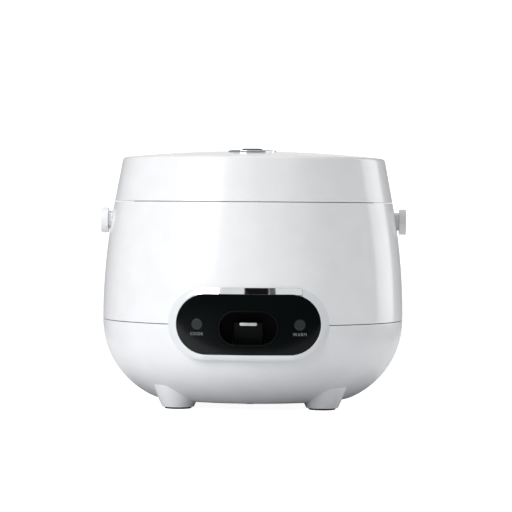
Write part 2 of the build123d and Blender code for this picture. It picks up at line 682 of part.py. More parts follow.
# Sensor: fixed guide, sprung cap with its ferrite, and the magnet plunger below.
GUIDE_LOW_Z = 37.5
GUIDE_PLAY = 0.5
GUIDE_WALL = 2.0
GUIDE_FLANGE_R = 29.0
with BuildPart() as thermostat_housing:
    with BuildSketch(Plane.XZ):
        with BuildLine():
            Polyline(
                (MAGNET_R + GUIDE_PLAY, GUIDE_LOW_Z),
                (MAGNET_R + GUIDE_PLAY + GUIDE_WALL, GUIDE_LOW_Z),
                (MAGNET_R + GUIDE_PLAY + GUIDE_WALL, WELL_FLOOR_Z + WELL_WALL),
                (GUIDE_FLANGE_R, WELL_FLOOR_Z + WELL_WALL),
                (GUIDE_FLANGE_R, PLATE_BOTTOM_Z),
                (MAGNET_R + GUIDE_PLAY, PLATE_BOTTOM_Z),
                close=True,
            )
        make_face()
    revolve(axis=Axis.Z)
thermostat_housing.part.label = "thermostat_housing"
export_step(thermostat_housing.part, "parts/thermostat_housing.step")

CAP_R = 19.0
CAP_TOP = 1.2
CAP_EDGE = 0.8
CAP_LOW_Z = PLATE_BOTTOM_Z + 2.5
FERRITE_R = 14.0
FERRITE_LOW_Z = 55.4
with BuildPart() as thermostat_cap:
    revolve(ring_profile(0, CAP_R, CAP_LOW_Z, PLATE_TOP_Z), axis=Axis.Z)
    cap_hollow = ring_profile(0, CAP_R - CAP_TOP, CAP_LOW_Z, PLATE_TOP_Z - CAP_TOP)
    revolve(cap_hollow, axis=Axis.Z, mode=Mode.SUBTRACT)
    fillet(thermostat_cap.edges().group_by(Axis.Z)[-1], CAP_EDGE)
thermostat_cap.part.label = "thermostat_cap"
export_step(thermostat_cap.part, "parts/thermostat_cap.step")

with BuildPart() as sensor_ferrite:
    revolve(ring_profile(0, FERRITE_R, FERRITE_LOW_Z, PLATE_TOP_Z - CAP_TOP), axis=Axis.Z)
sensor_ferrite.part.label = "sensor_ferrite"
export_step(sensor_ferrite.part, "parts/sensor_ferrite.step")

SENSOR_SPRING_R = 16.0
SENSOR_SPRING_WIRE = 0.6
spring_high_z = PLATE_TOP_Z - CAP_TOP - SPRING_PLAY
thermostat_spring = coil(
    0, 0, SENSOR_SPRING_R, SENSOR_SPRING_WIRE, PLATE_BOTTOM_Z + SPRING_PLAY, spring_high_z, 4
)
thermostat_spring.part.label = "thermostat_spring"
export_step(thermostat_spring.part, "parts/thermostat_spring.step")

MAGNET_LOW_Z = 38.0
MAGNET_TOP_Z = 45.9
PLUNGER_STEM_R = 3.0
PLUNGER_FOOT_R = 7.0
PLUNGER_FOOT_Z = 29.8
PLUNGER_STEM_Z = 31.0
with BuildPart() as magnet_plunger:
    revolve(ring_profile(0, MAGNET_R, MAGNET_LOW_Z, MAGNET_TOP_Z), axis=Axis.Z)
    revolve(ring_profile(0, PLUNGER_STEM_R, PLUNGER_STEM_Z, MAGNET_LOW_Z), axis=Axis.Z)
    revolve(ring_profile(0, PLUNGER_FOOT_R, PLUNGER_FOOT_Z, PLUNGER_STEM_Z), axis=Axis.Z)
magnet_plunger.part.label = "magnet_plunger"
export_step(magnet_plunger.part, "parts/magnet_plunger.step")

# Keep-warm heater: a band round the well.
BAND_THICKNESS = 1.6
BAND_LOW_Z = 84.0
BAND_HIGH_Z = 102.0
with BuildPart() as keep_warm_band:
    revolve(ring_profile(WELL_R, WELL_R + BAND_THICKNESS, BAND_LOW_Z, BAND_HIGH_Z), axis=Axis.Z)
keep_warm_band.part.label = "keep_warm_band"
export_step(keep_warm_band.part, "parts/keep_warm_band.step")

# Thermal fuse in its sleeve, under the well floor.
FUSE_X = 48.0
FUSE_R = 3.0
FUSE_LENGTH = 24.0
FUSE_START_Y = -10.0
with BuildPart() as thermal_fuse:
    with BuildSketch(Plane.XZ.offset(-FUSE_START_Y)):
        with Locations((FUSE_X, WELL_FLOOR_Z - FUSE_R)):
            Circle(FUSE_R)
    extrude(amount=-FUSE_LENGTH)
thermal_fuse.part.label = "thermal_fuse"
export_step(thermal_fuse.part, "parts/thermal_fuse.step")

# Terminal block on the base shell, beside the inlet.
BLOCK_X = -40.0
BLOCK_Y = 50.0
TERMINALS_W = 24.0
TERMINALS_L = 10.0
TERMINALS_H = 12.0
with BuildPart() as terminal_block:
    with Locations((BLOCK_X, BLOCK_Y, BASE_Z + WALL + TERMINALS_H / 2)):
        Box(TERMINALS_W, TERMINALS_L, TERMINALS_H)
    with Locations((BLOCK_X, BLOCK_Y, BASE_Z + WALL + TERMINALS_H)):
        with GridLocations(7, 1, 3, 1):
            Cylinder(2, 1.5, mode=Mode.SUBTRACT)
terminal_block.part.label = "terminal_block"
export_step(terminal_block.part, "parts/terminal_block.step")

# Mains inlet: a housing with a deep socket, and its three pins.
INLET_FACE_Y = 121.5
INLET_BACK_Y = 100.0
SOCKET_FLOOR_Y = 107.0
SOCKET_W = 24.5
SOCKET_H = 17.0
SOCKET_CORNER = 2.0
FLANGE = 2.0
FLANGE_DEPTH = 12.0
BLADE_W = 4.0
BLADE_H = 2.0
BLADE_LENGTH = 10.0
with BuildPart() as power_inlet:
    housing = front_block(INLET_HALF_X, INLET_Z - INLET_HALF_Z, INLET_Z + INLET_HALF_Z, INLET_FACE_Y)
    extrude(housing, amount=INLET_FACE_Y - INLET_BACK_Y)
    with BuildSketch(Plane.XZ.offset(-INLET_FACE_Y)):
        with Locations((0, INLET_Z)):
            RectangleRounded(SOCKET_W, SOCKET_H, SOCKET_CORNER)
    extrude(amount=INLET_FACE_Y - SOCKET_FLOOR_Y, mode=Mode.SUBTRACT)
    flange = front_block(
        INLET_HALF_X + FLANGE, INLET_Z - INLET_HALF_Z - FLANGE, INLET_Z + INLET_HALF_Z + FLANGE, INLET_FACE_Y
    )
    with BuildPart(mode=Mode.PRIVATE) as frame_rim:
        extrude(flange, amount=FLANGE_DEPTH)
        extrude(housing, amount=FLANGE_DEPTH, mode=Mode.SUBTRACT)
        add(envelope.part, mode=Mode.SUBTRACT)
    add(frame_rim.part)
power_inlet.part.label = "power_inlet"
export_step(power_inlet.part, "parts/power_inlet.step")

with BuildPart() as inlet_pins:
    with BuildSketch(Plane.XZ.offset(-SOCKET_FLOOR_Y)):
        with Locations((-7, INLET_Z - 2), (0, INLET_Z + 2), (7, INLET_Z - 2)):
            RectangleRounded(BLADE_W, BLADE_H, 0.4)
    extrude(amount=-BLADE_LENGTH)
inlet_pins.part.label = "inlet_pins"
export_step(inlet_pins.part, "parts/inlet_pins.step")

# Drip cup at the rear and the pocket that holds it.
POCKET_FRONT_Y = 103.5
POCKET_REAR_Y = 119.0
POCKET_BACK = 2.0
ROOM_MARGIN = 0.6
with BuildPart() as cup_holder:
    pocket = front_block(
        CUP_HALF + POCKET_MARGIN, CUP_LOW_Z - POCKET_MARGIN, CUP_HIGH_Z + POCKET_MARGIN, POCKET_REAR_Y
    )
    extrude(pocket, amount=POCKET_REAR_Y - POCKET_FRONT_Y)
    pocket_room = front_block(
        CUP_HALF + ROOM_MARGIN, CUP_LOW_Z - ROOM_MARGIN, CUP_HIGH_Z + ROOM_MARGIN, POCKET_REAR_Y
    )
    extrude(pocket_room, amount=POCKET_REAR_Y - POCKET_FRONT_Y - POCKET_BACK, mode=Mode.SUBTRACT)
cup_holder.part.label = "cup_holder"
export_step(cup_holder.part, "parts/cup_holder.step")

CUP_WALL = 1.6
CUP_CORNER = 4.0
with BuildPart() as drip_cup:
    with BuildSketch(Plane.XY.offset(CUP_LOW_Z)):
        with Locations((0, (CUP_FRONT_Y + CUP_REAR_Y) / 2)):
            RectangleRounded(2 * CUP_HALF, CUP_REAR_Y - CUP_FRONT_Y, CUP_CORNER)
    extrude(amount=CUP_HIGH_Z - CUP_LOW_Z)
    with BuildSketch(Plane.XY.offset(CUP_LOW_Z + CUP_WALL)):
        with Locations((0, (CUP_FRONT_Y + CUP_REAR_Y) / 2)):
            RectangleRounded(
                2 * (CUP_HALF - CUP_WALL), CUP_REAR_Y - CUP_FRONT_Y - 2 * CUP_WALL, CUP_CORNER - CUP_WALL
            )
    extrude(amount=CUP_HIGH_Z, mode=Mode.SUBTRACT)
drip_cup.part.label = "drip_cup"
export_step(drip_cup.part, "parts/drip_cup.step")

# Hinge block on the back of the body, with two eyes.
BLOCK_LOW_Z = 150.0
BLOCK_TOP_Z = HINGE_Z - HINGE_EYE_R - 0.5
BLOCK_REAR_Y = HINGE_Y + HINGE_EYE_R
BLOCK_INSIDE_Y = 100.0
BLOCK_SLANT_Y = 3.0
BLOCK_SLANT_Z = 4.0
with BuildPart() as hinge_block:
    with BuildSketch(Plane.YZ.offset(-HINGE_HALF)):
        with BuildLine():
            Polyline(
                (BLOCK_INSIDE_Y, BLOCK_LOW_Z),
                (BLOCK_REAR_Y - BLOCK_SLANT_Y, BLOCK_LOW_Z),
                (BLOCK_REAR_Y, BLOCK_LOW_Z + BLOCK_SLANT_Z),
                (BLOCK_REAR_Y, HINGE_Z),
                (HINGE_Y - HINGE_EYE_R, HINGE_Z),
                (HINGE_Y - HINGE_EYE_R, BODY_TOP_Z),
                (BLOCK_INSIDE_Y, BODY_TOP_Z),
                close=True,
            )
        make_face()
        with Locations((HINGE_Y, HINGE_Z)):
            Circle(HINGE_EYE_R)
            Circle(HINGE_PIN_R, mode=Mode.SUBTRACT)
    extrude(amount=2 * HINGE_HALF)
    with Locations((0, HINGE_Y, BLOCK_TOP_Z)):
        Box(
            2 * KNUCKLE_HALF + 1,
            60,
            40,
            align=(Align.CENTER, Align.CENTER, Align.MIN),
            mode=Mode.SUBTRACT,
        )
    add(envelope.part, mode=Mode.SUBTRACT)
hinge_block.part.label = "hinge_block"
export_step(hinge_block.part, "parts/hinge_block.step")

with BuildPart() as hinge_pin:
    with BuildSketch(Plane.YZ):
        with Locations((HINGE_Y, HINGE_Z)):
            Circle(HINGE_PIN_R)
    extrude(amount=HINGE_HALF, both=True)
hinge_pin.part.label = "hinge_pin"
export_step(hinge_pin.part, "parts/hinge_pin.step")

# Side pivots of the handle: a boss through the shell and a short pin.
BOSS_START_X = 110.0
BOSS_GAP = 0.3
PIN_REACH = 3.7
PIN_HOLE_DEPTH = 4.2
with BuildPart() as handle_pivots:
    for side in (-1, 1):
        with BuildSketch(Plane.YZ.offset(side * BOSS_START_X)):
            with Locations((0, HANDLE_Z)):
                Circle(HANDLE_BOSS_R)
        extrude(amount=side * (HANDLE_INNER_X - BOSS_GAP - BOSS_START_X))
        with BuildSketch(Plane.YZ.offset(side * BOSS_START_X)):
            with Locations((0, HANDLE_Z)):
                Circle(HANDLE_PIN_R)
        extrude(amount=side * (HANDLE_INNER_X + PIN_REACH - BOSS_START_X))
handle_pivots.part.label = "handle_pivots"
export_step(handle_pivots.part, "parts/handle_pivots.step")


def handle_outline(grow):
    """Plan outline of the folded handle: two straight arms, two corner arcs and a straight grip."""
    outer_x = HANDLE_INNER_X + HANDLE_THICKNESS / 2 + grow
    rear_y = HANDLE_REAR_Y + grow
    corner = HANDLE_CORNER + grow
    with BuildSketch(Plane.XY.offset(HANDLE_Z - HANDLE_HEIGHT / 2)) as outline:
        with BuildLine():
            Polyline((-outer_x, rear_y), (-outer_x, 0), (outer_x, 0), (outer_x, rear_y), close=True)
        make_face()
        fillet(outline.vertices().group_by(Axis.Y)[-1], corner)
    return outline.sketch


# Carrying handle, folded down behind the body.
with BuildPart() as handle:
    extrude(handle_outline(HANDLE_THICKNESS / 2), amount=HANDLE_HEIGHT)
    extrude(handle_outline(-HANDLE_THICKNESS / 2), amount=HANDLE_HEIGHT, mode=Mode.SUBTRACT)
    for side in (-1, 1):
        with BuildSketch(Plane.YZ.offset(side * HANDLE_INNER_X)):
            with Locations((0, HANDLE_Z)):
                Circle(HANDLE_DISC_R)
        extrude(amount=side * HANDLE_THICKNESS)
    for side in (-1, 1):
        with BuildSketch(Plane.YZ.offset(side * HANDLE_INNER_X)):
            with Locations((0, HANDLE_Z)):
                Circle(HANDLE_PIN_R + RUNNING)
        extrude(amount=side * PIN_HOLE_DEPTH, mode=Mode.SUBTRACT)
handle.part.label = "handle"
export_step(handle.part, "parts/handle.step")

# Lid cover: domed shell with seats for the button ring and the steam vent.
VENT_SEAT_R = 16.0
RING_DEPTH = 2.0
RING_TOP_Z = 209.9
RING_LOW_Z = RING_TOP_Z - RING_DEPTH
SLEEVE_R = 10.5
LID_ROOM_Z = 200.0
THROUGH = 20.0
with BuildPart() as lid_cover:
    revolve(lid_profile(0), axis=Axis.Z)
    revolve(lid_profile(WALL), axis=Axis.Z, mode=Mode.SUBTRACT)
    with BuildSketch(Plane.XY.offset(RING_LOW_Z)):
        with Locations((0, BUTTON_Y)):
            Circle(RING_R)
    extrude(amount=THROUGH, mode=Mode.SUBTRACT)
    with BuildSketch(Plane.XY.offset(LID_ROOM_Z)):
        with Locations((0, BUTTON_Y)):
            Circle(SLEEVE_R)
        with Locations((0, VENT_Y)):
            Circle(VENT_SEAT_R)
    extrude(amount=THROUGH, mode=Mode.SUBTRACT)
lid_cover.part.label = "lid_cover"
export_step(lid_cover.part, "parts/lid_cover.step")

# Ring and guide sleeve of the release button.
SLEEVE_LOW_Z = 196.0
SLEEVE_FLOOR_Z = 198.0
STEM_R = 4.0
STEM_PLAY = 0.3
BUTTON_PLAY = 0.35
RING_BREAK = 0.7
with BuildPart() as button_ring:
    with Locations((0, BUTTON_Y, RING_LOW_Z)):
        Cylinder(RING_R, RING_DEPTH, align=STANDING)
    chamfer(button_ring.edges().group_by(Axis.Z)[-1], RING_BREAK)
    with Locations((0, BUTTON_Y, SLEEVE_LOW_Z)):
        Cylinder(SLEEVE_R, RING_LOW_Z - SLEEVE_LOW_Z, align=STANDING)
        Cylinder(STEM_R + STEM_PLAY, 2 * RING_DEPTH, align=STANDING, mode=Mode.SUBTRACT)
    with Locations((0, BUTTON_Y, SLEEVE_FLOOR_Z)):
        Cylinder(BUTTON_R + BUTTON_PLAY, RING_TOP_Z - SLEEVE_FLOOR_Z, align=STANDING, mode=Mode.SUBTRACT)
button_ring.part.label = "button_ring"
export_step(button_ring.part, "parts/button_ring.step")

BUTTON_LOW_Z = 204.0
STEM_LOW_Z = 189.0
BUTTON_EDGE = 1.0
BUTTON_SPRING_R = 6.0
BUTTON_SPRING_WIRE = 0.5
with BuildPart() as button:
    with Locations((0, BUTTON_Y, BUTTON_LOW_Z)):
        Cylinder(BUTTON_R, BUTTON_TOP_Z - BUTTON_LOW_Z, align=STANDING)
    fillet(button.edges().group_by(Axis.Z)[-1], BUTTON_EDGE)
    with Locations((0, BUTTON_Y, STEM_LOW_Z)):
        Cylinder(STEM_R, BUTTON_LOW_Z - STEM_LOW_Z, align=STANDING)
button.part.label = "button"
export_step(button.part, "parts/button.step")

spring_low_z = SLEEVE_FLOOR_Z + SPRING_PLAY
spring_high_z = BUTTON_LOW_Z - SPRING_PLAY
button_spring = coil(0, BUTTON_Y, BUTTON_SPRING_R, BUTTON_SPRING_WIRE, spring_low_z, spring_high_z, 3)
button_spring.part.label = "button_spring"
export_step(button_spring.part, "parts/button_spring.step")

# Latch lever: rear arm under the button stem, front hook down through the liner into the collar slot.
LATCH_HALF = 5.0
LATCH_PIN_R = 1.5
LATCH_OUTLINE = (
    (-45, 188.6),
    (-45, 185.6),
    (LATCH_PIVOT_Y + 4, 180),
    (LATCH_PIVOT_Y - 8, 179),
    (HOOK_Y + 1.4, 172),
    (HOOK_Y + 1.4, 158.5),
    (HOOK_Y - 1.4, 160.5),
    (HOOK_Y - 1.4, 176),
    (LATCH_PIVOT_Y - 8, 187),
    (LATCH_PIVOT_Y, 188.6),
)
with BuildPart() as latch_lever:
    with BuildSketch(Plane.YZ):
        with BuildLine():
            Polyline(*LATCH_OUTLINE, close=True)
        make_face()
        with Locations((LATCH_PIVOT_Y, LATCH_PIVOT_Z)):
            Circle(LATCH_PIN_R + RUNNING, mode=Mode.SUBTRACT)
    extrude(amount=LATCH_HALF, both=True)
latch_lever.part.label = "latch_lever"
export_step(latch_lever.part, "parts/latch_lever.step")

LATCH_PIN_OVERHANG = 4.0
with BuildPart() as latch_pin:
    with BuildSketch(Plane.YZ):
        with Locations((LATCH_PIVOT_Y, LATCH_PIVOT_Z)):
            Circle(LATCH_PIN_R)
    extrude(amount=LATCH_HALF + LATCH_PIN_OVERHANG, both=True)
latch_pin.part.label = "latch_pin"
export_step(latch_pin.part, "parts/latch_pin.step")

# Lid liner: the underside of the lid, with the latch ears and the slot for the hook.
LINER_LOW_Z = 169.5
LINER_TOP_Z = 171.5
LINER_R = lid_radius(LINER_TOP_Z, WALL) - 0.15
RIM_TOP_Z = 178.0
RIM_R = lid_radius(RIM_TOP_Z, WALL) - 0.2
VENT_TUBE_R = 10.0
RIM_WALL = 1.6
EAR_LOW_HALF = 7.0
EAR_HIGH_HALF = 4.0
LATCH_EAR = 3.0
with BuildPart() as lid_liner:
    revolve(ring_profile(0, LINER_R, LINER_LOW_Z, LINER_TOP_Z), axis=Axis.Z)
    revolve(ring_profile(RIM_R - RIM_WALL, RIM_R, LINER_TOP_Z, RIM_TOP_Z), axis=Axis.Z)
    with BuildSketch(Plane.XY.offset(LINER_LOW_Z)):
        with Locations((0, HOOK_Y - 0.4)):
            Rectangle(2 * LATCH_HALF + 3, 7)
        with Locations((0, VENT_Y)):
            Circle(VENT_TUBE_R)
    extrude(amount=20, mode=Mode.SUBTRACT)
    with BuildSketch(Plane.YZ):
        with BuildLine():
            Polyline(
                (LATCH_PIVOT_Y - EAR_LOW_HALF, LINER_TOP_Z),
                (LATCH_PIVOT_Y + EAR_LOW_HALF, LINER_TOP_Z),
                (LATCH_PIVOT_Y + EAR_HIGH_HALF, LATCH_PIVOT_Z + EAR_HIGH_HALF),
                (LATCH_PIVOT_Y - EAR_HIGH_HALF, LATCH_PIVOT_Z + EAR_HIGH_HALF),
                close=True,
            )
        make_face()
        with Locations((LATCH_PIVOT_Y, LATCH_PIVOT_Z)):
            Circle(LATCH_PIN_R, mode=Mode.SUBTRACT)
    extrude(amount=LATCH_HALF + LATCH_EAR, both=True)
    with Locations((0, LATCH_PIVOT_Y, LINER_TOP_Z)):
        Box(2 * LATCH_HALF + 1, 30, 30, align=(Align.CENTER, Align.CENTER, Align.MIN), mode=Mode.SUBTRACT)
lid_liner.part.label = "lid_liner"
export_step(lid_liner.part, "parts/lid_liner.step")

# Removable inner plate and the seal round it.
LID_PLATE_R = 92.0
LID_PLATE_Z = 167.6
LID_PLATE_THICKNESS = 1.0
PLATE_BOSS_R = 9.0
STEAM_CIRCLE = 5.0
STEAM_HOLE_R = 1.6
GASKET_LIP_R = 97.0
GASKET_R = 100.0
with BuildPart() as lid_plate:
    revolve(ring_profile(0, LID_PLATE_R, LID_PLATE_Z, LID_PLATE_Z + LID_PLATE_THICKNESS), axis=Axis.Z)
    revolve(ring_profile(0, PLATE_BOSS_R, LID_PLATE_Z + LID_PLATE_THICKNESS, LINER_LOW_Z), axis=Axis.Z)
    with BuildSketch(Plane.XY.offset(LID_PLATE_Z)):
        with Locations((0, VENT_Y)):
            with PolarLocations(STEAM_CIRCLE, 6):
                Circle(STEAM_HOLE_R)
            Circle(STEAM_HOLE_R)
    extrude(amount=LID_PLATE_THICKNESS, mode=Mode.SUBTRACT)
lid_plate.part.label = "lid_plate"
export_step(lid_plate.part, "parts/lid_plate.step")

with BuildPart() as lid_gasket:
    with BuildSketch(Plane.XZ):
        with BuildLine():
            Polyline(
                (LID_PLATE_R, LID_PLATE_Z - 0.4),
                (GASKET_LIP_R, POT_RIM_Z + 0.3),
                (GASKET_R, POT_RIM_Z + 0.3),
                (GASKET_R, LINER_LOW_Z),
                (LID_PLATE_R, LINER_LOW_Z),
                close=True,
            )
        make_face()
    revolve(axis=Axis.Z)
lid_gasket.part.label = "lid_gasket"
export_step(lid_gasket.part, "parts/lid_gasket.step")

# Steam vent: a body through the lid and a cap that lifts out.
VENT_FLOOR_Z = 205.0
CAP_VENT_R = 15.4
CAP_VENT_TOP_Z = 211.4
CAP_VENT_LOW_Z = VENT_FLOOR_Z + 1.5
CAP_VENT_EDGE = 1.2
TUBE_WALL = 2.0
TUBE_LOW_Z = 168.8
FLANGE_THICKNESS = 1.2
CAP_TUBE_R = 6.8
CAP_TUBE_BORE = 5.2
CAP_TUBE_Z = 190.0
STEAM_SLOT_L = 9.0
STEAM_SLOT_W = 2.0
STEAM_SLOT_GAP = 4.5
with BuildPart() as vent_body:
    with BuildSketch(Plane.XZ.offset(-VENT_Y)):
        with BuildLine():
            Polyline(
                (VENT_TUBE_R - TUBE_WALL, TUBE_LOW_Z),
                (VENT_TUBE_R, TUBE_LOW_Z),
                (VENT_TUBE_R, VENT_FLOOR_Z),
                (VENT_SEAT_R, VENT_FLOOR_Z),
                (VENT_SEAT_R, VENT_FLOOR_Z + FLANGE_THICKNESS),
                (VENT_TUBE_R - TUBE_WALL, VENT_FLOOR_Z + FLANGE_THICKNESS),
                close=True,
            )
        make_face()
    revolve(axis=Axis((0, VENT_Y, 0), (0, 0, 1)))
vent_body.part.label = "vent_body"
export_step(vent_body.part, "parts/vent_body.step")

with BuildPart() as vent_cap:
    with BuildSketch(Plane.XY.offset(CAP_VENT_LOW_Z)):
        with Locations((0, VENT_Y)):
            Circle(CAP_VENT_R)
    extrude(amount=CAP_VENT_TOP_Z - CAP_VENT_LOW_Z)
    fillet(vent_cap.edges().group_by(Axis.Z)[-1], CAP_VENT_EDGE)
    with BuildSketch(Plane.XY.offset(CAP_TUBE_Z)):
        with Locations((0, VENT_Y)):
            Circle(CAP_TUBE_R)
            Circle(CAP_TUBE_BORE, mode=Mode.SUBTRACT)
    extrude(amount=CAP_VENT_LOW_Z - CAP_TUBE_Z)
    with BuildSketch(Plane.XY.offset(LID_ROOM_Z)):
        with Locations((0, VENT_Y)):
            with GridLocations(0, STEAM_SLOT_GAP, 1, 2):
                SlotOverall(STEAM_SLOT_L, STEAM_SLOT_W)
    extrude(amount=THROUGH, mode=Mode.SUBTRACT)
vent_cap.part.label = "vent_cap"
export_step(vent_cap.part, "parts/vent_cap.step")

# Knuckle that joins the lid to the hinge pin.
KNUCKLE_LOW_Z = LID_BOTTOM_Z + 0.6
KNUCKLE_RISE = 2.0
with BuildPart() as lid_hinge_arm:
    with BuildSketch(Plane.YZ):
        with BuildLine():
            Polyline(
                (BLOCK_INSIDE_Y, KNUCKLE_LOW_Z),
                (HINGE_Y, KNUCKLE_LOW_Z),
                (HINGE_Y, HINGE_Z + HINGE_EYE_R),
                (BLOCK_INSIDE_Y, HINGE_Z + HINGE_EYE_R + KNUCKLE_RISE),
                close=True,
            )
        make_face()
        with Locations((HINGE_Y, HINGE_Z)):
            Circle(HINGE_EYE_R)
            Circle(HINGE_PIN_R + RUNNING, mode=Mode.SUBTRACT)
    extrude(amount=KNUCKLE_HALF, both=True)
    with BuildPart(mode=Mode.PRIVATE) as lid_inside:
        revolve(lid_profile(0), axis=Axis.Z)
    add(lid_inside.part, mode=Mode.SUBTRACT)
    revolve(belly_profile(0, 160, BODY_TOP_Z + 0.5), axis=Axis.Z, mode=Mode.SUBTRACT)
lid_hinge_arm.part.label = "lid_hinge_arm"
export_step(lid_hinge_arm.part, "parts/lid_hinge_arm.step")

# Screws that hold the liner to the cover.
LID_SCREW_CIRCLE = 104.5
LID_SCREW_R = 3.0
with BuildPart() as lid_screws:
    with BuildSketch(Plane.XY.offset(LINER_LOW_Z - SCREW_HEAD)):
        with PolarLocations(LID_SCREW_CIRCLE, 4, start_angle=45):
            Circle(LID_SCREW_R)
    extrude(amount=SCREW_HEAD)
lid_screws.part.label = "lid_screws"
export_step(lid_screws.part, "parts/lid_screws.step")
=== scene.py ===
from math import asin, atan2, cos, pi, radians, sin, sqrt

import bpy
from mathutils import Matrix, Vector


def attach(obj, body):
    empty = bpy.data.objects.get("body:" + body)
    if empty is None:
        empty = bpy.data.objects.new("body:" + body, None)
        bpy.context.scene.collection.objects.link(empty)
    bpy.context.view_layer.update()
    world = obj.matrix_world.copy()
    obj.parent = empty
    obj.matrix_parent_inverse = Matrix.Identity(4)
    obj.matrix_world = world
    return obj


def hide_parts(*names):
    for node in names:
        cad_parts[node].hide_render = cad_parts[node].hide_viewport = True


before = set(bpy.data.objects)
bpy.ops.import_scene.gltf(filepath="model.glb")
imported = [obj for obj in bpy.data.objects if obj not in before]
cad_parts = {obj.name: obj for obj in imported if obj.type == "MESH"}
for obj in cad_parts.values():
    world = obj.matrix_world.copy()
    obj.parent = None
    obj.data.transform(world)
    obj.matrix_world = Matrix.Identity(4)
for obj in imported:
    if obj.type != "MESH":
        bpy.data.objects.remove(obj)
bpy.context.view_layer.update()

# ---------------------------------------------------------------- Studio
# A pale sweep under and behind the cooker, a big window of light on the left, a weaker one on the right
# and dark cards that the gloss plastic and the bright strip mirror.
MM = 0.001
scene = bpy.context.scene
scene.view_settings.view_transform = "Standard"


def linear(hex_colour):
    """Turns an sRGB hex colour into linear RGBA."""
    channels = [int(hex_colour[i:i + 2], 16) / 255 for i in (1, 3, 5)]
    return [c / 12.92 if c <= 0.04045 else ((c + 0.055) / 1.055) ** 2.4 for c in channels] + [1.0]


def add_node(tree, kind, inputs=None, **settings):
    """Adds a node; an input takes a value or a (node, output) pair to link from."""
    node = tree.nodes.new(kind)
    for name, value in settings.items():
        setattr(node, name, value)
    for name, value in (inputs or {}).items():
        if isinstance(value, tuple) and isinstance(value[0], bpy.types.Node):
            tree.links.new(value[0].outputs[value[1]], node.inputs[name])
        else:
            node.inputs[name].default_value = value
    return node


def blank_material(name):
    """A material with nothing but its output, and its node tree."""
    material = bpy.data.materials.new(name)
    material.use_nodes = True
    material.node_tree.nodes.clear()
    return material, material.node_tree


def dress(piece, material):
    """Gives every face of a piece one material."""
    piece.data.materials.clear()
    piece.data.materials.append(material)
    for face in piece.data.polygons:
        face.material_index = 0


def nothing_selected():
    """Leaves edit mode and deselects every object."""
    if bpy.context.object and bpy.context.object.mode != "OBJECT":
        bpy.ops.object.mode_set(mode="OBJECT")
    bpy.ops.object.select_all(action="DESELECT")


def settle(piece):
    """Moves a piece's place, turn and size into its mesh."""
    nothing_selected()
    piece.select_set(True)
    bpy.context.view_layer.objects.active = piece
    bpy.ops.object.transform_apply(location=True, rotation=True, scale=True)


def pull_side(piece, across, side, distance, clear=0.01):
    """Moves the vertices on one side of the middle plane across an axis outwards, in millimetres."""
    bpy.ops.object.mode_set(mode="EDIT")
    bpy.ops.mesh.select_all(action="DESELECT")
    bpy.ops.object.mode_set(mode="OBJECT")
    for vertex in piece.data.vertices:
        vertex.select = vertex.co[across] * side > clear * MM
    bpy.ops.object.mode_set(mode="EDIT")
    pull = [0, 0, 0]
    pull[across] = side * distance * MM
    bpy.ops.transform.translate(value=pull)
    bpy.ops.object.mode_set(mode="OBJECT")


SWEEP_HALF = 4.0
SWEEP_FRONT = -4.0
SWEEP_REAR = 3.4
SWEEP_HEIGHT = 4.0
SWEEP_BEND = 0.6
nothing_selected()
bpy.ops.mesh.primitive_plane_add(size=1)
sweep = bpy.context.object
sweep.name = "studio_sweep"
sweep.scale = (2 * SWEEP_HALF, SWEEP_REAR - SWEEP_FRONT, 1)
sweep.location = (0, (SWEEP_REAR + SWEEP_FRONT) / 2, 0)
settle(sweep)
bpy.ops.object.mode_set(mode="EDIT")
bpy.ops.mesh.select_all(action="DESELECT")
bpy.ops.object.mode_set(mode="OBJECT")
for edge in sweep.data.edges:
    edge.select = all(sweep.data.vertices[i].co.y > SWEEP_REAR - MM for i in edge.vertices)
bpy.ops.object.mode_set(mode="EDIT")
bpy.ops.mesh.extrude_region_move(TRANSFORM_OT_translate={"value": (0, 0, SWEEP_HEIGHT)})
bpy.ops.object.mode_set(mode="OBJECT")
bend = sweep.modifiers.new("bend", "BEVEL")
bend.width = SWEEP_BEND
bend.segments = 12
bpy.ops.object.modifier_apply(modifier="bend")
bpy.ops.object.shade_smooth()
PAPER_SEEN = 0.95
PAPER_GLOW = 0.64
PAPER_DIM = 0.06
LANE_INNER = 0.112
LANE_OUTER = 0.15
LANE_SKEW = 0.03
FLOOR_BOUNCE = 0.7
LANE_APEX = 2.0
paper, tree = blank_material("studio_paper")
paper_coords = add_node(tree, "ShaderNodeTexCoord")
paper_fibre = add_node(tree, "ShaderNodeTexNoise", {"Vector": (paper_coords, "Object"), "Scale": 900.0})
paper_bump = add_node(tree, "ShaderNodeBump", {"Height": (paper_fibre, "Fac"), "Strength": 0.02})
# The paper looks evenly white, while the light it gives comes from a lane that widens towards the back,
# weak near the cooker and full strength further off: this glow is painted light standing in for light bounced
# off the paper, with a painted shadow where it dies away under the cooker.
paper_axes = add_node(tree, "ShaderNodeSeparateXYZ", {"Vector": (paper_coords, "Object")})
skewed = add_node(tree, "ShaderNodeMath", {
    0: (paper_axes, "Y"), 1: LANE_SKEW, 2: (paper_axes, "X")}, operation="MULTIPLY_ADD")
aside = add_node(tree, "ShaderNodeMath", {0: (skewed, "Value")}, operation="ABSOLUTE")
onward = add_node(tree, "ShaderNodeMath", {0: (paper_axes, "Y"), 1: LANE_APEX}, operation="ADD")
spread = add_node(tree, "ShaderNodeMath", {0: (aside, "Value"), 1: (onward, "Value")}, operation="DIVIDE")
lane = add_node(tree, "ShaderNodeMapRange", {
    "Value": (spread, "Value"), "From Min": LANE_INNER, "From Max": LANE_OUTER,
    "To Min": PAPER_GLOW, "To Max": PAPER_DIM}, interpolation_type="SMOOTHSTEP")
near_fade = add_node(tree, "ShaderNodeMapRange", {
    "Value": (paper_axes, "Y"), "From Min": -0.92, "From Max": -0.76}, interpolation_type="SMOOTHSTEP")
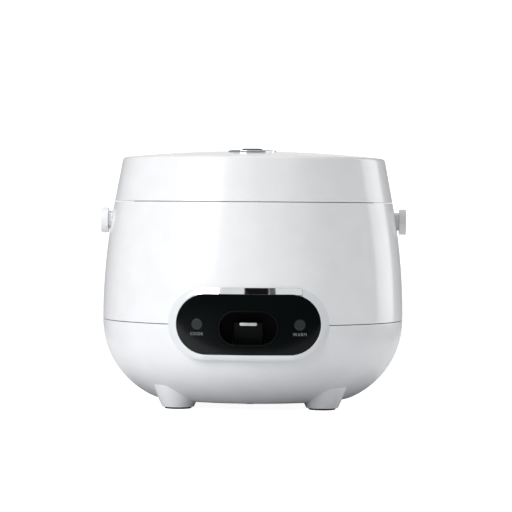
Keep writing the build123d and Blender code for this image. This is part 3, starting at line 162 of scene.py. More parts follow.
from_middle = add_node(tree, "ShaderNodeVectorMath", {0: (paper_coords, "Object")}, operation="LENGTH")
# Painted shadow: the paper's glow fades out in a disc under the cooker, where a lit floor would lie in its shade.
under = add_node(tree, "ShaderNodeMapRange", {
    "Value": (from_middle, "Value"), "From Min": 0.105, "From Max": 0.165}, interpolation_type="SMOOTHSTEP")
lit_lane = add_node(tree, "ShaderNodeMath", {0: (lane, "Result"), 1: (near_fade, "Result")}, operation="MULTIPLY")
far_off = add_node(tree, "ShaderNodeMapRange", {
    "Value": (from_middle, "Value"), "From Min": 0.5, "From Max": 2.4,
    "To Min": FLOOR_BOUNCE, "To Max": 1.0}, interpolation_type="SMOOTHSTEP")
bounce = add_node(tree, "ShaderNodeMath", {0: (far_off, "Result"), 1: (under, "Result")}, operation="MULTIPLY")
given = add_node(tree, "ShaderNodeMath", {0: (lit_lane, "Value"), 1: (bounce, "Value")}, operation="MULTIPLY")
ray = add_node(tree, "ShaderNodeLightPath")
seen = add_node(tree, "ShaderNodeMath", {0: (ray, "Is Camera Ray"), 1: PAPER_SEEN}, operation="MULTIPLY")
glow = add_node(tree, "ShaderNodeMath", {0: (given, "Value"), 1: (seen, "Value")}, operation="MAXIMUM")
paper_surface = add_node(tree, "ShaderNodeBsdfPrincipled", {
    "Base Color": linear("#A5A6A8"), "Roughness": 0.9, "Emission Color": linear("#FFFFFF"),
    "Emission Strength": (glow, "Value"), "Normal": (paper_bump, "Normal")})
add_node(tree, "ShaderNodeOutputMaterial", {"Surface": (paper_surface, "BSDF")})
dress(sweep, paper)

world = bpy.data.worlds.new("studio_air")
scene.world = world
world.use_nodes = True
world.node_tree.nodes.clear()
air = add_node(world.node_tree, "ShaderNodeBackground", {"Color": linear("#FFFFFF"), "Strength": 0.35})
add_node(world.node_tree, "ShaderNodeOutputWorld", {"Surface": (air, "Background")})


def soft_box(name, place, aim, width, height, power):
    """A rectangular studio light aimed at a point."""
    light = bpy.data.lights.new(name, "AREA")
    light.shape = "RECTANGLE"
    light.size = width
    light.size_y = height
    light.energy = power
    lamp = bpy.data.objects.new(name, light)
    lamp.location = place
    lamp.rotation_euler = (Vector(aim) - Vector(place)).to_track_quat("-Z", "Y").to_euler()
    scene.collection.objects.link(lamp)
    return lamp


MIDDLE = (0, 0, 0.11)
soft_box("window_left", (-1.25, -1.35, 0.95), MIDDLE, 1.1, 1.2, 29)
soft_box("rim_right", (1.25, 0.75, 0.45), MIDDLE, 0.7, 1.1, 6)
soft_box("fill_right", (1.5, -0.15, 0.5), MIDDLE, 1.0, 1.2, 3.2)
soft_box("front_bar", (0.15, -1.5, 1.2), MIDDLE, 2.6, 0.5, 2.2)
soft_box("top_light", (-0.2, 0.1, 1.6), MIDDLE, 1.6, 1.2, 3)


def flag(name, place, aim, width, height, colour):
    """A dark cloth card that the polished parts mirror; seen directly it is as white as the paper."""
    nothing_selected()
    bpy.ops.mesh.primitive_plane_add(size=1)
    card = bpy.context.object
    card.name = name
    card.scale = (width, height, 1)
    card.rotation_euler = (Vector(aim) - Vector(place)).to_track_quat("-Z", "Y").to_euler()
    card.location = place
    settle(card)
    cloth, cloth_tree = blank_material(name + "_cloth")
    cloth_place = add_node(cloth_tree, "ShaderNodeTexCoord")
    weave = add_node(cloth_tree, "ShaderNodeTexNoise", {"Vector": (cloth_place, "Object"), "Scale": 700.0})
    weave_bump = add_node(cloth_tree, "ShaderNodeBump", {"Height": (weave, "Fac"), "Strength": 0.1})
    cloth_ray = add_node(cloth_tree, "ShaderNodeLightPath")
    cloth_surface = add_node(cloth_tree, "ShaderNodeBsdfPrincipled", {
        "Base Color": linear(colour), "Roughness": 0.95, "Normal": (weave_bump, "Normal"),
        "Emission Color": linear("#FFFFFF"), "Emission Strength": (cloth_ray, "Is Camera Ray")})
    add_node(cloth_tree, "ShaderNodeOutputMaterial", {"Surface": (cloth_surface, "BSDF")})
    dress(card, cloth)


flag("floor_flag", (0, -2.3, 0.002), (0, -2.3, -1), 4.4, 2.74, "#0A0A0B")
flag("bar_flag", (0.105, -1.33, 1.02), MIDDLE, 0.46, 0.5, "#060606")
flag("bar_edge_flag", (0.4, -1.33, 1.02), MIDDLE, 0.12, 0.5, "#8C8E90")

# The camera stands a little above the lid seam and a little to the right, far back behind a long lens.
CAMERA_DISTANCE = 2.0
CAMERA_HEIGHT = 0.1631
CAMERA_AZIMUTH = radians(1.7)
CAMERA_PITCH = radians(1.15)
CAMERA_ROLL = radians(-0.45)
camera_data = bpy.data.cameras.new("camera")
camera_data.lens = 168.2
camera_data.sensor_width = 36
camera_data.clip_end = 50
camera_data.shift_x = 0.0045
camera = bpy.data.objects.new("camera", camera_data)
camera.location = (
    CAMERA_DISTANCE * sin(CAMERA_AZIMUTH), -CAMERA_DISTANCE * cos(CAMERA_AZIMUTH), CAMERA_HEIGHT)
camera.rotation_mode = "XYZ"
camera.rotation_euler = (pi / 2 - CAMERA_PITCH, CAMERA_ROLL, CAMERA_AZIMUTH)
scene.collection.objects.link(camera)
scene.camera = camera

# ---------------------------------------------------------------- Base shell
# The bowl of the body: injection-moulded white polypropylene with a polished skin.
# Its rim meets the upper shell in a fine dark line at the waist.
WAIST_R = 125.0
WAIST_Z = 70.6
BOWL_ARC = 70.0
BASE_Z = 5.5
HEEL_ARC = 20.0
WALL = 2.5
WAIST_GAP = 0.6
BASE_OPENING_R = 60.0
ROUND = 192


def turned(name, stations, centre=(0, 0), segments=ROUND):
    """Turns a body of revolution: a ring is pulled through (radius, height) stations, in millimetres.
    A closed outline ends on its first station; an open one starts and ends on the axis."""
    closed = stations[0] == stations[-1]
    x, y = centre[0] * MM, centre[1] * MM
    radius, height = stations[0]
    nothing_selected()
    bpy.ops.mesh.primitive_circle_add(
        vertices=segments, radius=radius * MM, location=(x, y, height * MM),
        fill_type="NOTHING" if closed else "NGON")
    piece = bpy.context.object
    piece.name = name
    bpy.ops.object.mode_set(mode="EDIT")
    bpy.ops.mesh.select_all(action="SELECT")
    for next_radius, next_height in stations[1:]:
        rise = (next_height - height) * MM
        bpy.ops.mesh.extrude_region_move(TRANSFORM_OT_translate={"value": (0, 0, rise)})
        ratio = next_radius / radius
        bpy.ops.transform.resize(value=(ratio, ratio, 1), center_override=(x, y, next_height * MM))
        radius, height = next_radius, next_height
    bpy.ops.mesh.select_all(action="SELECT")
    bpy.ops.mesh.remove_doubles(threshold=0.001 * MM)
    bpy.ops.mesh.normals_make_consistent(inside=False)
    bpy.ops.object.mode_set(mode="OBJECT")
    settle(piece)
    return piece


def soften(piece, width, segments=3, angle=35):
    """Rounds a piece's sharp edges and shades it smooth, the wide faces setting the normals."""
    nothing_selected()
    piece.select_set(True)
    bpy.context.view_layer.objects.active = piece
    if width:
        edges = piece.modifiers.new("edges", "BEVEL")
        edges.width = width * MM
        edges.segments = segments
        edges.limit_method = "ANGLE"
        edges.angle_limit = radians(angle)
        edges.use_clamp_overlap = True
        bpy.ops.object.modifier_apply(modifier="edges")
    bpy.ops.object.shade_smooth_by_angle(angle=radians(32))
    normals = piece.modifiers.new("normals", "WEIGHTED_NORMAL")
    normals.keep_sharp = True
    bpy.ops.object.modifier_apply(modifier="normals")


def cut(piece, tool, operation="DIFFERENCE", keep_tool=False):
    """Cuts a piece with a tool body, or joins them, and clears the tool away."""
    nothing_selected()
    piece.select_set(True)
    bpy.context.view_layer.objects.active = piece
    knife = piece.modifiers.new("knife", "BOOLEAN")
    knife.object = tool
    knife.operation = operation
    knife.solver = "EXACT"
    bpy.ops.object.modifier_apply(modifier="knife")
    if not keep_tool:
        bpy.data.objects.remove(tool)


def block(name, low, high):
    """A plain box between two corners, in millimetres, used as a start or a cutter."""
    nothing_selected()
    middle = [(a + b) / 2 * MM for a, b in zip(low, high)]
    bpy.ops.mesh.primitive_cube_add(size=1, location=middle)
    piece = bpy.context.object
    piece.name = name
    piece.scale = [(b - a) * MM for a, b in zip(low, high)]
    settle(piece)
    return piece


def bowl_point(turn, inset):
    """Point of the bowl's wall, a turn in radians below the waist, inset from the outer face."""
    arc = BOWL_ARC - inset
    return WAIST_R - BOWL_ARC + arc * cos(turn), WAIST_Z - arc * sin(turn)


HEEL_Z = BASE_Z + HEEL_ARC
HEEL_R = WAIST_R - BOWL_ARC + sqrt((BOWL_ARC - HEEL_ARC) ** 2 - (WAIST_Z - HEEL_Z) ** 2)
HEEL_TURN = atan2(WAIST_Z - HEEL_Z, HEEL_R - WAIST_R + BOWL_ARC)
BOWL_STEPS = 30
HEEL_STEPS = 6


def bowl_outline(inset, top_z):
    """Stations from the rim of the bowl down its wall and round the heel to the floor."""
    first = atan2(WAIST_Z - top_z, BOWL_ARC)
    stations = []
    for step in range(BOWL_STEPS + 1):
        stations.append(bowl_point(first + (HEEL_TURN - first) * step / BOWL_STEPS, inset))
    for step in range(1, HEEL_STEPS + 1):
        turn = HEEL_TURN + (pi / 2 - HEEL_TURN) * step / HEEL_STEPS
        arc = HEEL_ARC - inset
        stations.append((HEEL_R + arc * cos(turn), HEEL_Z - arc * sin(turn)))
    return stations


bowl_rim_z = WAIST_Z - WAIST_GAP / 2
outer_wall = bowl_outline(0, bowl_rim_z)
inner_wall = bowl_outline(WALL, bowl_rim_z)[::-1]
floor_edge = [(BASE_OPENING_R, BASE_Z), (BASE_OPENING_R, BASE_Z + WALL)]
base_shell = turned("base_shell_moulding", outer_wall + floor_edge + inner_wall + outer_wall[:1])

# The window for the control panel, and the opening for the mains inlet.
PANEL_Z = 71.4
PANEL_W = 114.4
PANEL_H = 47.8
WINDOW_MARGIN = 3.6
AHEAD_Y = -140.0
BEHIND_Y = -80.0
REARWARD_Y = 140.0
INLET_HALF_X = 16.0
INLET_HALF_Z = 12.5
INLET_Z = 42.0


def upright_pill(name, width, height, centre_z, near_y, far_y, cap_steps=24):
    """A prism with a pill outline facing forward, between two planes across Y, in millimetres."""
    nothing_selected()
    reach = (width - height) / 2
    bpy.ops.mesh.primitive_cylinder_add(
        vertices=4 * cap_steps, radius=height / 2 * MM, depth=abs(far_y - near_y) * MM,
        location=(0, (near_y + far_y) / 2 * MM, centre_z * MM), rotation=(pi / 2, 0, 0))
    piece = bpy.context.object
    piece.name = name
    settle(piece)
    for side in (-1, 1):
        pull_side(piece, 0, side, reach)
    return piece


window_w = PANEL_W + WINDOW_MARGIN
window_h = PANEL_H + WINDOW_MARGIN
cut(base_shell, upright_pill("window_cutter", window_w, window_h, PANEL_Z, AHEAD_Y, BEHIND_Y))
cut(base_shell, block("inlet_cutter", (-INLET_HALF_X, 90, INLET_Z - INLET_HALF_Z),
                      (INLET_HALF_X, REARWARD_Y, INLET_Z + INLET_HALF_Z)))
soften(base_shell, 0.35, 2)


def moulded(name, colour, roughness, wave_mm=18.0, wave=0.012, grain_mm=0.6, grain=0.006, coat=0.0, ior=1.49):
    """Injection-moulded plastic. Flow in the tool leaves slow, faint waves and drifts of tone;
    the tool's own surface leaves the fine grain."""
    material, tree = blank_material(name)
    place = add_node(tree, "ShaderNodeTexCoord")
    flow = add_node(tree, "ShaderNodeTexNoise", {
        "Vector": (place, "Object"), "Scale": 1 / (wave_mm * MM), "Detail": 2.0, "Roughness": 0.4})
    skin = add_node(tree, "ShaderNodeTexNoise", {
        "Vector": (place, "Object"), "Scale": 1 / (grain_mm * MM), "Detail": 3.0})
    tone = add_node(tree, "ShaderNodeValToRGB", {"Fac": (flow, "Fac")})
    base = linear(colour)
    tone.color_ramp.elements[0].position = 0.3
    tone.color_ramp.elements[0].color = [c * 0.965 for c in base[:3]] + [1]
    tone.color_ramp.elements[1].position = 0.7
    tone.color_ramp.elements[1].color = base
    gloss = add_node(tree, "ShaderNodeMapRange", {
        "Value": (skin, "Fac"), "To Min": roughness * 0.85, "To Max": roughness * 1.2})
    waves = add_node(tree, "ShaderNodeBump", {
        "Height": (flow, "Fac"), "Strength": 0.35, "Distance": wave * MM * 4})
    pores = add_node(tree, "ShaderNodeBump", {
        "Height": (skin, "Fac"), "Strength": 0.5, "Distance": grain * MM, "Normal": (waves, "Normal")})
    surface = add_node(tree, "ShaderNodeBsdfPrincipled", {
        "Base Color": (tone, "Color"), "Roughness": (gloss, "Result"), "IOR": ior,
        "Coat Weight": coat, "Coat Roughness": 0.05, "Normal": (pores, "Normal")})
    add_node(tree, "ShaderNodeOutputMaterial", {"Surface": (surface, "BSDF")})
    return material


# Polished white polypropylene: a bright, slightly cool body with a soft wide highlight.
white_polypropylene = moulded("white_polypropylene", "#F1F2F4", 0.24, coat=0.25)
dress(base_shell, white_polypropylene)
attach(base_shell, "body")
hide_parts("base_shell")

# ---------------------------------------------------------------- Feet
# Four hollow-looking cones of the same white plastic, welded under the bowl,
# each with a soft black rubber pad pressed into its end.
FOOT_OFFSET = 58.5
FOOT_BOTTOM_R = 12.25
FOOT_FLARE = 0.4525
FOOT_TOP_Z = 19.0
PAD_R = 11.0
PAD_PROUD = 1.5
PAD_HEIGHT = 3.0
AXIS_R = 0.3
solid_bowl = turned(
    "bowl_cutter", [(AXIS_R, bowl_rim_z)] + outer_wall + [(AXIS_R, BASE_Z)])
foot_outline = [
    (AXIS_R, PAD_HEIGHT), (PAD_R + 0.1, PAD_HEIGHT), (PAD_R + 0.1, PAD_PROUD),
    (FOOT_BOTTOM_R + FOOT_FLARE * PAD_PROUD, PAD_PROUD),
    (FOOT_BOTTOM_R + FOOT_FLARE * FOOT_TOP_Z, FOOT_TOP_Z), (AXIS_R, FOOT_TOP_Z)]
for foot_name, turn_x, turn_y in (
        ("foot_front_left", -1, -1), ("foot_front_right", 1, -1),
        ("foot_rear_left", -1, 1), ("foot_rear_right", 1, 1)):
    foot = turned(foot_name + "_moulding", foot_outline, (turn_x * FOOT_OFFSET, turn_y * FOOT_OFFSET), 96)
    cut(foot, solid_bowl, keep_tool=True)
    soften(foot, 0.7, 3)
    dress(foot, white_polypropylene)
    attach(foot, "body")
    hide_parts(foot_name)
bpy.data.objects.remove(solid_bowl)


def rubber(name, colour, roughness):
    """Moulded rubber: dull, slightly dusty, with a fine pitted skin."""
    material, tree = blank_material(name)
    place = add_node(tree, "ShaderNodeTexCoord")
    pits = add_node(tree, "ShaderNodeTexNoise", {"Vector": (place, "Object"), "Scale": 1 / (0.5 * MM), "Detail": 4.0})
    dust = add_node(tree, "ShaderNodeTexNoise", {"Vector": (place, "Object"), "Scale": 1 / (9 * MM), "Detail": 3.0})
    tone = add_node(tree, "ShaderNodeValToRGB", {"Fac": (dust, "Fac")})
    tone.color_ramp.elements[0].color = linear(colour)
    tone.color_ramp.elements[1].color = [min(1, c * 1.35 + 0.004) for c in linear(colour)[:3]] + [1]
    skin = add_node(tree, "ShaderNodeBump", {"Height": (pits, "Fac"), "Strength": 0.5, "Distance": 0.05 * MM})
    surface = add_node(tree, "ShaderNodeBsdfPrincipled", {
        "Base Color": (tone, "Color"), "Roughness": roughness, "IOR": 1.52, "Normal": (skin, "Normal")})
    add_node(tree, "ShaderNodeOutputMaterial", {"Surface": (surface, "BSDF")})
    return material


black_rubber = rubber("nitrile_rubber", "#1B1B1C", 0.78)
dress(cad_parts["foot_pads"], black_rubber)

# ---------------------------------------------------------------- Bottom cover
# A stamped disc of galvanised steel, held by plated screws. Its zinc shows large dull crystals;
# the bright zinc on the small fasteners is even and a little scuffed.


def metal(name, colour, rough_low, rough_high, pattern, size_mm, depth_mm):
    """Bare or plated metal. The pattern is how the surface was made: spun in rings, drawn along X,
    spangled by hot zinc or left plain; it varies the roughness and relief."""
    material, tree = blank_material(name)
    place = add_node(tree, "ShaderNodeTexCoord")
    scale = 1 / (size_mm * MM)
    if pattern == "spun":
        marks = add_node(tree, "ShaderNodeTexWave", {
            "Vector": (place, "Object"), "Scale": scale / 6.28, "Distortion": 0.6, "Detail": 2.0,
            "Detail Scale": 2.0}, wave_type="RINGS", rings_direction="Z")
        height = (marks, "Fac")
    elif pattern == "spangled":
        marks = add_node(tree, "ShaderNodeTexVoronoi", {"Vector": (place, "Object"), "Scale": scale})
        shade = add_node(tree, "ShaderNodeRGBToBW", {"Color": (marks, "Color")})
        height = (shade, "Val")
    elif pattern == "drawn":
        stretch = add_node(tree, "ShaderNodeMapping", {"Vector": (place, "Object"), "Scale": (0.03, 1.0, 1.0)})
        marks = add_node(tree, "ShaderNodeTexNoise", {"Vector": (stretch, "Vector"), "Scale": scale, "Detail": 4.0})
        height = (marks, "Fac")
    else:
        marks = add_node(tree, "ShaderNodeTexNoise", {"Vector": (place, "Object"), "Scale": scale, "Detail": 4.0})
        height = (marks, "Fac")
    rough = add_node(tree, "ShaderNodeMapRange", {"Value": height, "To Min": rough_low, "To Max": rough_high})
    tone = add_node(tree, "ShaderNodeValToRGB", {"Fac": height})
    base = linear(colour)
    tone.color_ramp.elements[0].color = [c * 0.86 for c in base[:3]] + [1]
    tone.color_ramp.elements[1].color = base
    relief = add_node(tree, "ShaderNodeBump", {"Height": height, "Strength": 0.4, "Distance": depth_mm * MM})
    surface = add_node(tree, "ShaderNodeBsdfPrincipled", {
        "Base Color": (tone, "Color"), "Metallic": 1.0, "Roughness": (rough, "Result"),
        "Normal": (relief, "Normal")})
    add_node(tree, "ShaderNodeOutputMaterial", {"Surface": (surface, "BSDF")})
    return material


galvanised_steel = metal("galvanised_steel", "#B9BDC0", 0.32, 0.55, "spangled", 7.0, 0.01)
bright_zinc = metal("bright_zinc_steel", "#C9CBCC", 0.18, 0.34, "plain", 0.8, 0.01)
for node_name in ("base_plate", "lever_bracket", "keep_warm_band"):
    dress(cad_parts[node_name], galvanised_steel)
for node_name in ("base_screws", "well_posts", "plate_feet", "lever_pin", "hinge_pin", "latch_pin"):
    dress(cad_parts[node_name], bright_zinc)

# ---------------------------------------------------------------- Heater and sensor
# A cast aluminium plate, faced on a lathe, with its tubular heater; the sprung sensor cap stands in its
# middle over a sintered ferrite and the magnet that the lever lifts.
faced_casting = metal("faced_cast_aluminium", "#C4C5C6", 0.3, 0.45, "spun", 0.9, 0.02)
spun_aluminium = metal("spun_aluminium", "#D9DADB", 0.22, 0.36, "spun", 0.7, 0.01)
heater_steel = metal("annealed_stainless_steel", "#8F8A84", 0.3, 0.5, "plain", 1.5, 0.02)
spring_steel = metal("drawn_spring_steel", "#B4B6B8", 0.2, 0.36, "drawn", 0.3, 0.01)
sintered_ferrite = rubber("sintered_ferrite", "#2A2A2C", 0.55)
dress(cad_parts["heating_plate"], faced_casting)
dress(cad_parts["heating_element"], heater_steel)
for node_name in ("thermostat_cap", "thermostat_housing", "pot_well"):
    dress(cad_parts[node_name], spun_aluminium)
for node_name in ("thermostat_spring", "lever_spring", "button_spring"):
    dress(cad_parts[node_name], spring_steel)
for node_name in ("sensor_ferrite", "magnet_plunger"):
    dress(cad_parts[node_name], sintered_ferrite)

# ---------------------------------------------------------------- Electrical parts
# Chalky steatite for the terminal block and fuse sleeve, coarse glass-filled nylon for the switch,
# lamp holders and latch, rolled brass for the blades of the inlet.
unglazed_steatite = rubber("unglazed_steatite", "#DCD6C8", 0.7)
black_nylon = moulded("black_glass_filled_nylon", "#141415", 0.42, grain_mm=0.4, grain=0.03)
brass = metal("rolled_brass", "#D9B566", 0.18, 0.3, "drawn", 0.4, 0.005)
for node_name in ("terminal_block", "thermal_fuse"):
    dress(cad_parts[node_name], unglazed_steatite)
for node_name in ("microswitch", "lamp_holders", "latch_lever"):
    dress(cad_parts[node_name], black_nylon)

# ---------------------------------------------------------------- Body shell
# The upper wall of the body, a gently bellied ring of the same white plastic, slipped over the bowl's tongue.
# It has a window for the controls and a pocket at the back for the drip cup.
BELLY_ARC = 520.0
SEAM_Z = 168.0
SEAM_GAP = 0.55
BELLY_STEPS = 18
CUP_HALF = 24.0
CUP_LOW_Z = 112.0
CUP_HIGH_Z = 142.0
POCKET_MARGIN = 2.2


def belly_radius(z, inset=0.0):
    """Radius of the upper wall at a height, inset from its outer face."""
    return WAIST_R - BELLY_ARC + sqrt((BELLY_ARC - inset) ** 2 - (z - WAIST_Z) ** 2)


belly_low = WAIST_Z + WAIST_GAP / 2
belly_high = SEAM_Z - SEAM_GAP / 2
heights = [belly_low + (belly_high - belly_low) * step / BELLY_STEPS for step in range(BELLY_STEPS + 1)]
outside = [(belly_radius(z), z) for z in heights]
inside = [(belly_radius(z, WALL), z) for z in heights[::-1]]
body_shell = turned("body_shell_moulding", outside + inside + outside[:1])
cut(body_shell, upright_pill("window_cutter", window_w, window_h, PANEL_Z, AHEAD_Y, BEHIND_Y))
cut(body_shell, block("pocket_cutter", (-CUP_HALF - POCKET_MARGIN, 100, CUP_LOW_Z - POCKET_MARGIN),
                      (CUP_HALF + POCKET_MARGIN, REARWARD_Y, CUP_HIGH_Z + POCKET_MARGIN)))
soften(body_shell, 0.4, 3)
dress(body_shell, white_polypropylene)
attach(body_shell, "body")
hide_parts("body_shell")

# ---------------------------------------------------------------- Rim collar and inner pot
# The collar is satin grey polypropylene.  The pot is a deep-drawn aluminium cup, bare outside,
# with a dark speckled non-stick coating inside.
grey_polypropylene = moulded("grey_polypropylene", "#C3C7CA", 0.36, grain_mm=0.8, grain=0.02)
dress(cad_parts["collar"], grey_polypropylene)


def speckled_coating(name):
    """Baked fluoropolymer: dark, slightly soft gloss, with sparse pale flecks."""
    material, tree = blank_material(name)
    place = add_node(tree, "ShaderNodeTexCoord")
    cells = add_node(tree, "ShaderNodeTexVoronoi", {"Vector": (place, "Object"), "Scale": 1 / (2.2 * MM)})
    flecks = add_node(tree, "ShaderNodeValToRGB", {"Fac": (cells, "Distance")})
    flecks.color_ramp.elements[0].position = 0.1
    flecks.color_ramp.elements[0].color = linear("#8A8C8E")
    flecks.color_ramp.elements[1].position = 0.16
    flecks.color_ramp.elements[1].color = linear("#2B2C2E")
    mist = add_node(tree, "ShaderNodeTexNoise", {"Vector": (place, "Object"), "Scale": 1 / (0.6 * MM), "Detail": 3.0})
    rough = add_node(tree, "ShaderNodeMapRange", {"Value": (mist, "Fac"), "To Min": 0.28, "To Max": 0.42})
    relief = add_node(tree, "ShaderNodeBump", {"Height": (mist, "Fac"), "Strength": 0.3, "Distance": 0.02 * MM})
    surface = add_node(tree, "ShaderNodeBsdfPrincipled", {
        "Base Color": (flecks, "Color"), "Roughness": (rough, "Result"), "IOR": 1.38, "Normal": (relief, "Normal")})
    add_node(tree, "ShaderNodeOutputMaterial", {"Surface": (surface, "BSDF")})
    return material


nonstick = speckled_coating("fluoropolymer_coating")
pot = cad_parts["pot"]
dress(pot, nonstick)
pot.data.materials.append(spun_aluminium)
POT_MID_R = 92.2
POT_FLOOR_Z = 62.2
for face in pot.data.polygons:
    reach = sqrt(face.center.x ** 2 + face.center.y ** 2) / MM
    below = face.center.z < POT_FLOOR_Z * MM
    if below or (reach > POT_MID_R and face.normal.z < 0.5):
        face.material_index = 1

# ---------------------------------------------------------------- Control surround
# A pale grey ABS frame that slopes away towards the body, with a ledge behind that the black face sits on.
# It is let into the window of both shells and follows their curve.
SURROUND_W = 127.6
SURROUND_H = 57.2
SURROUND_R = 126.5
SLEEVE_PLAY = 0.4
LEDGE_LOW_R = 119.6
LEDGE_HIGH_R = 123.3
LEDGE_W = 106.0
LEDGE_H = 40.0
STRIP_HALF = 42.3
STRIP_FOOT_R = 124.8
DRUM_LOW_Z = 15.0
DRUM_HIGH_Z = 130.0
FRONT_ROUND = 288
LOOP_POINTS = 160
PRESS_ROUND = 1440


def drum(radius, segments=FRONT_ROUND):
    """A solid upright drum on the axis of the body, used as a cutter."""
    return turned(
        "drum", [(AXIS_R, DRUM_LOW_Z), (radius, DRUM_LOW_Z), (radius, DRUM_HIGH_Z), (AXIS_R, DRUM_HIGH_Z)],
        segments=segments)


def front_pill(name, width, height, centre_z=PANEL_Z):
    """A pill prism that reaches from inside the body out through its front."""
    return upright_pill(name, width, height, centre_z, AHEAD_Y, BEHIND_Y, 32)


solid_body = turned(
    "body_cutter",
    [(AXIS_R, belly_high)] + outside[::-1] + outer_wall + [(AXIS_R, BASE_Z)], segments=FRONT_ROUND)


def strip_blank(name, grow):
    """The arc over the top of the frame that the bright strip fills, grown all round by a little."""
    blank = front_pill(name, SURROUND_W + 0.8 + 2 * grow, SURROUND_H + 0.8 + 2 * grow)
    cut(blank, front_pill("strip_inside", PANEL_W + 0.2 - 2 * grow, PANEL_H + 0.2 - 2 * grow))
    band_half = STRIP_HALF + grow
    cut(blank, block("strip_band", (-band_half, -150, PANEL_Z + 5), (band_half, -70, 130)), "INTERSECT")
    cut(blank, drum(STRIP_FOOT_R - grow))
    return blank


def pressed_loop(name, width, height, centre_z, target):
    """A pill-shaped wire loop in front of the body, pressed back along Y onto a target."""
    nothing_selected()
    bpy.ops.mesh.primitive_circle_add(
        vertices=LOOP_POINTS, radius=height / 2 * MM,
        location=(0, AHEAD_Y * MM, centre_z * MM), rotation=(pi / 2, 0, 0))
    loop = bpy.context.object
    loop.name = name
    settle(loop)
    for side in (-1, 1):
        pull_side(loop, 0, side, (width - height) / 2)
    press = loop.modifiers.new("press", "SHRINKWRAP")
    press.target = target
    press.wrap_method = "PROJECT"
    press.use_project_y = True
    press.use_positive_direction = True
    press.use_negative_direction = False
    bpy.ops.object.modifier_apply(modifier="press")
    return loop


def lofted(name, loops):
    """A solid ring skinned over pill loops: (width, height, centre z, drum radius or target), closed on itself."""
    piece = None
    for width, height, centre_z, onto in loops:
        target = drum(onto, PRESS_ROUND) if isinstance(onto, float) else onto
        loop = pressed_loop(name, width, height, centre_z, target)
        if target != onto:
            bpy.data.objects.remove(target)
        if piece is None:
            piece = loop
            continue
        nothing_selected()
        loop.select_set(True)
        piece.select_set(True)
        bpy.context.view_layer.objects.active = piece
        bpy.ops.object.join()
    count = len(loops)
    for step in range(count):
        chosen = (step, (step + 1) % count)
        bpy.ops.object.mode_set(mode="EDIT")
        bpy.ops.mesh.select_all(action="DESELECT")
        bpy.ops.object.mode_set(mode="OBJECT")
        for vertex in piece.data.vertices:
            vertex.select = vertex.index // LOOP_POINTS in chosen
        for edge in piece.data.edges:
            pair = [vertex // LOOP_POINTS for vertex in edge.vertices]
            edge.select = pair[0] == pair[1] and pair[0] in chosen
        bpy.ops.object.mode_set(mode="EDIT")
        bpy.ops.mesh.select_mode(type="EDGE")
        bpy.ops.mesh.bridge_edge_loops()
        bpy.ops.mesh.select_mode(type="VERT")
    bpy.ops.mesh.select_all(action="SELECT")
    bpy.ops.mesh.normals_make_consistent(inside=False)
    bpy.ops.object.mode_set(mode="OBJECT")
    return piece


surround = lofted("surround_moulding", [
    (SURROUND_W, SURROUND_H, PANEL_Z, solid_body),
    (SURROUND_W - 0.5, SURROUND_H - 0.5, PANEL_Z, 125.15),
    (SURROUND_W - 2.2, SURROUND_H - 1.8, PANEL_Z, 125.6),
    (SURROUND_W - 5.0, SURROUND_H - 4.0, PANEL_Z, 126.1),
    (SURROUND_W - 9.0, SURROUND_H - 6.8, PANEL_Z, SURROUND_R),
    (PANEL_W + 1.2, PANEL_H + 1.2, PANEL_Z, SURROUND_R),
    (PANEL_W + 0.5, PANEL_H + 0.5, PANEL_Z, SURROUND_R - 0.15),
    (PANEL_W + 0.2, PANEL_H + 0.2, PANEL_Z, SURROUND_R - 0.5),
    (PANEL_W + 0.2, PANEL_H + 0.2, PANEL_Z, LEDGE_HIGH_R),
    (LEDGE_W, LEDGE_H, PANEL_Z, LEDGE_HIGH_R),
    (LEDGE_W, LEDGE_H, PANEL_Z, LEDGE_LOW_R),
    (window_w - SLEEVE_PLAY, window_h - SLEEVE_PLAY, PANEL_Z, LEDGE_LOW_R),
    (window_w - SLEEVE_PLAY, window_h - SLEEVE_PLAY, PANEL_Z, solid_body)])
cut(surround, strip_blank("strip_room", 0.05))
soften(surround, 0.25, 2)
pale_abs = moulded("pale_grey_abs", "#E3E6E9", 0.3, grain_mm=0.3, grain=0.01, coat=0.3)
dress(surround, pale_abs)
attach(surround, "body")
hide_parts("surround")

# ---------------------------------------------------------------- Black face
# A gloss black acrylic plate curved with the body, with a window for the lever and two for the lamps.
# Its polished edge is broken so that a thin line of light runs round it.
PANEL_R = 126.0
PANEL_THICKNESS = 2.5
RECESS_Z = 68.5
RECESS_W = 48.7
RECESS_H = 29.0
LAMP_X = 40.6
LAMP_Z = 71.3
LAMP_R = 4.3
FIT = 0.15


def forward_rod(name, radius, x, z, near_y, far_y, vertices=48):
    """A round rod lying along Y."""
    nothing_selected()
    bpy.ops.mesh.primitive_cylinder_add(
        vertices=vertices, radius=radius * MM, depth=abs(far_y - near_y) * MM,
        location=(x * MM, (near_y + far_y) / 2 * MM, z * MM), rotation=(pi / 2, 0, 0))
    rod = bpy.context.object
    rod.name = name
    settle(rod)
    return rod


face_w = PANEL_W - 0.2
face_h = PANEL_H - 0.2
FACE_LOOPS = 9
face_back = PANEL_R - PANEL_THICKNESS
across = []
for step in range(FACE_LOOPS + 1):
    share = step / FACE_LOOPS
    across.append((
        face_w - 0.6 + (RECESS_W + 0.5 - face_w + 0.6) * share,
        face_h - 0.6 + (RECESS_H + 0.5 - face_h + 0.6) * share,
        PANEL_Z + (RECESS_Z - PANEL_Z) * share))
panel = lofted("black_face", (
    [(face_w, face_h, PANEL_Z, face_back), (face_w, face_h, PANEL_Z, PANEL_R - 0.35),
     (face_w - 0.2, face_h - 0.2, PANEL_Z, PANEL_R - 0.1)]
    + [(width, height, centre_z, PANEL_R) for width, height, centre_z in across]
    + [(RECESS_W, RECESS_H, RECESS_Z, PANEL_R - 0.25), (RECESS_W, RECESS_H, RECESS_Z, face_back)]
    + [(width, height, centre_z, face_back) for width, height, centre_z in across[-2:0:-1]]))
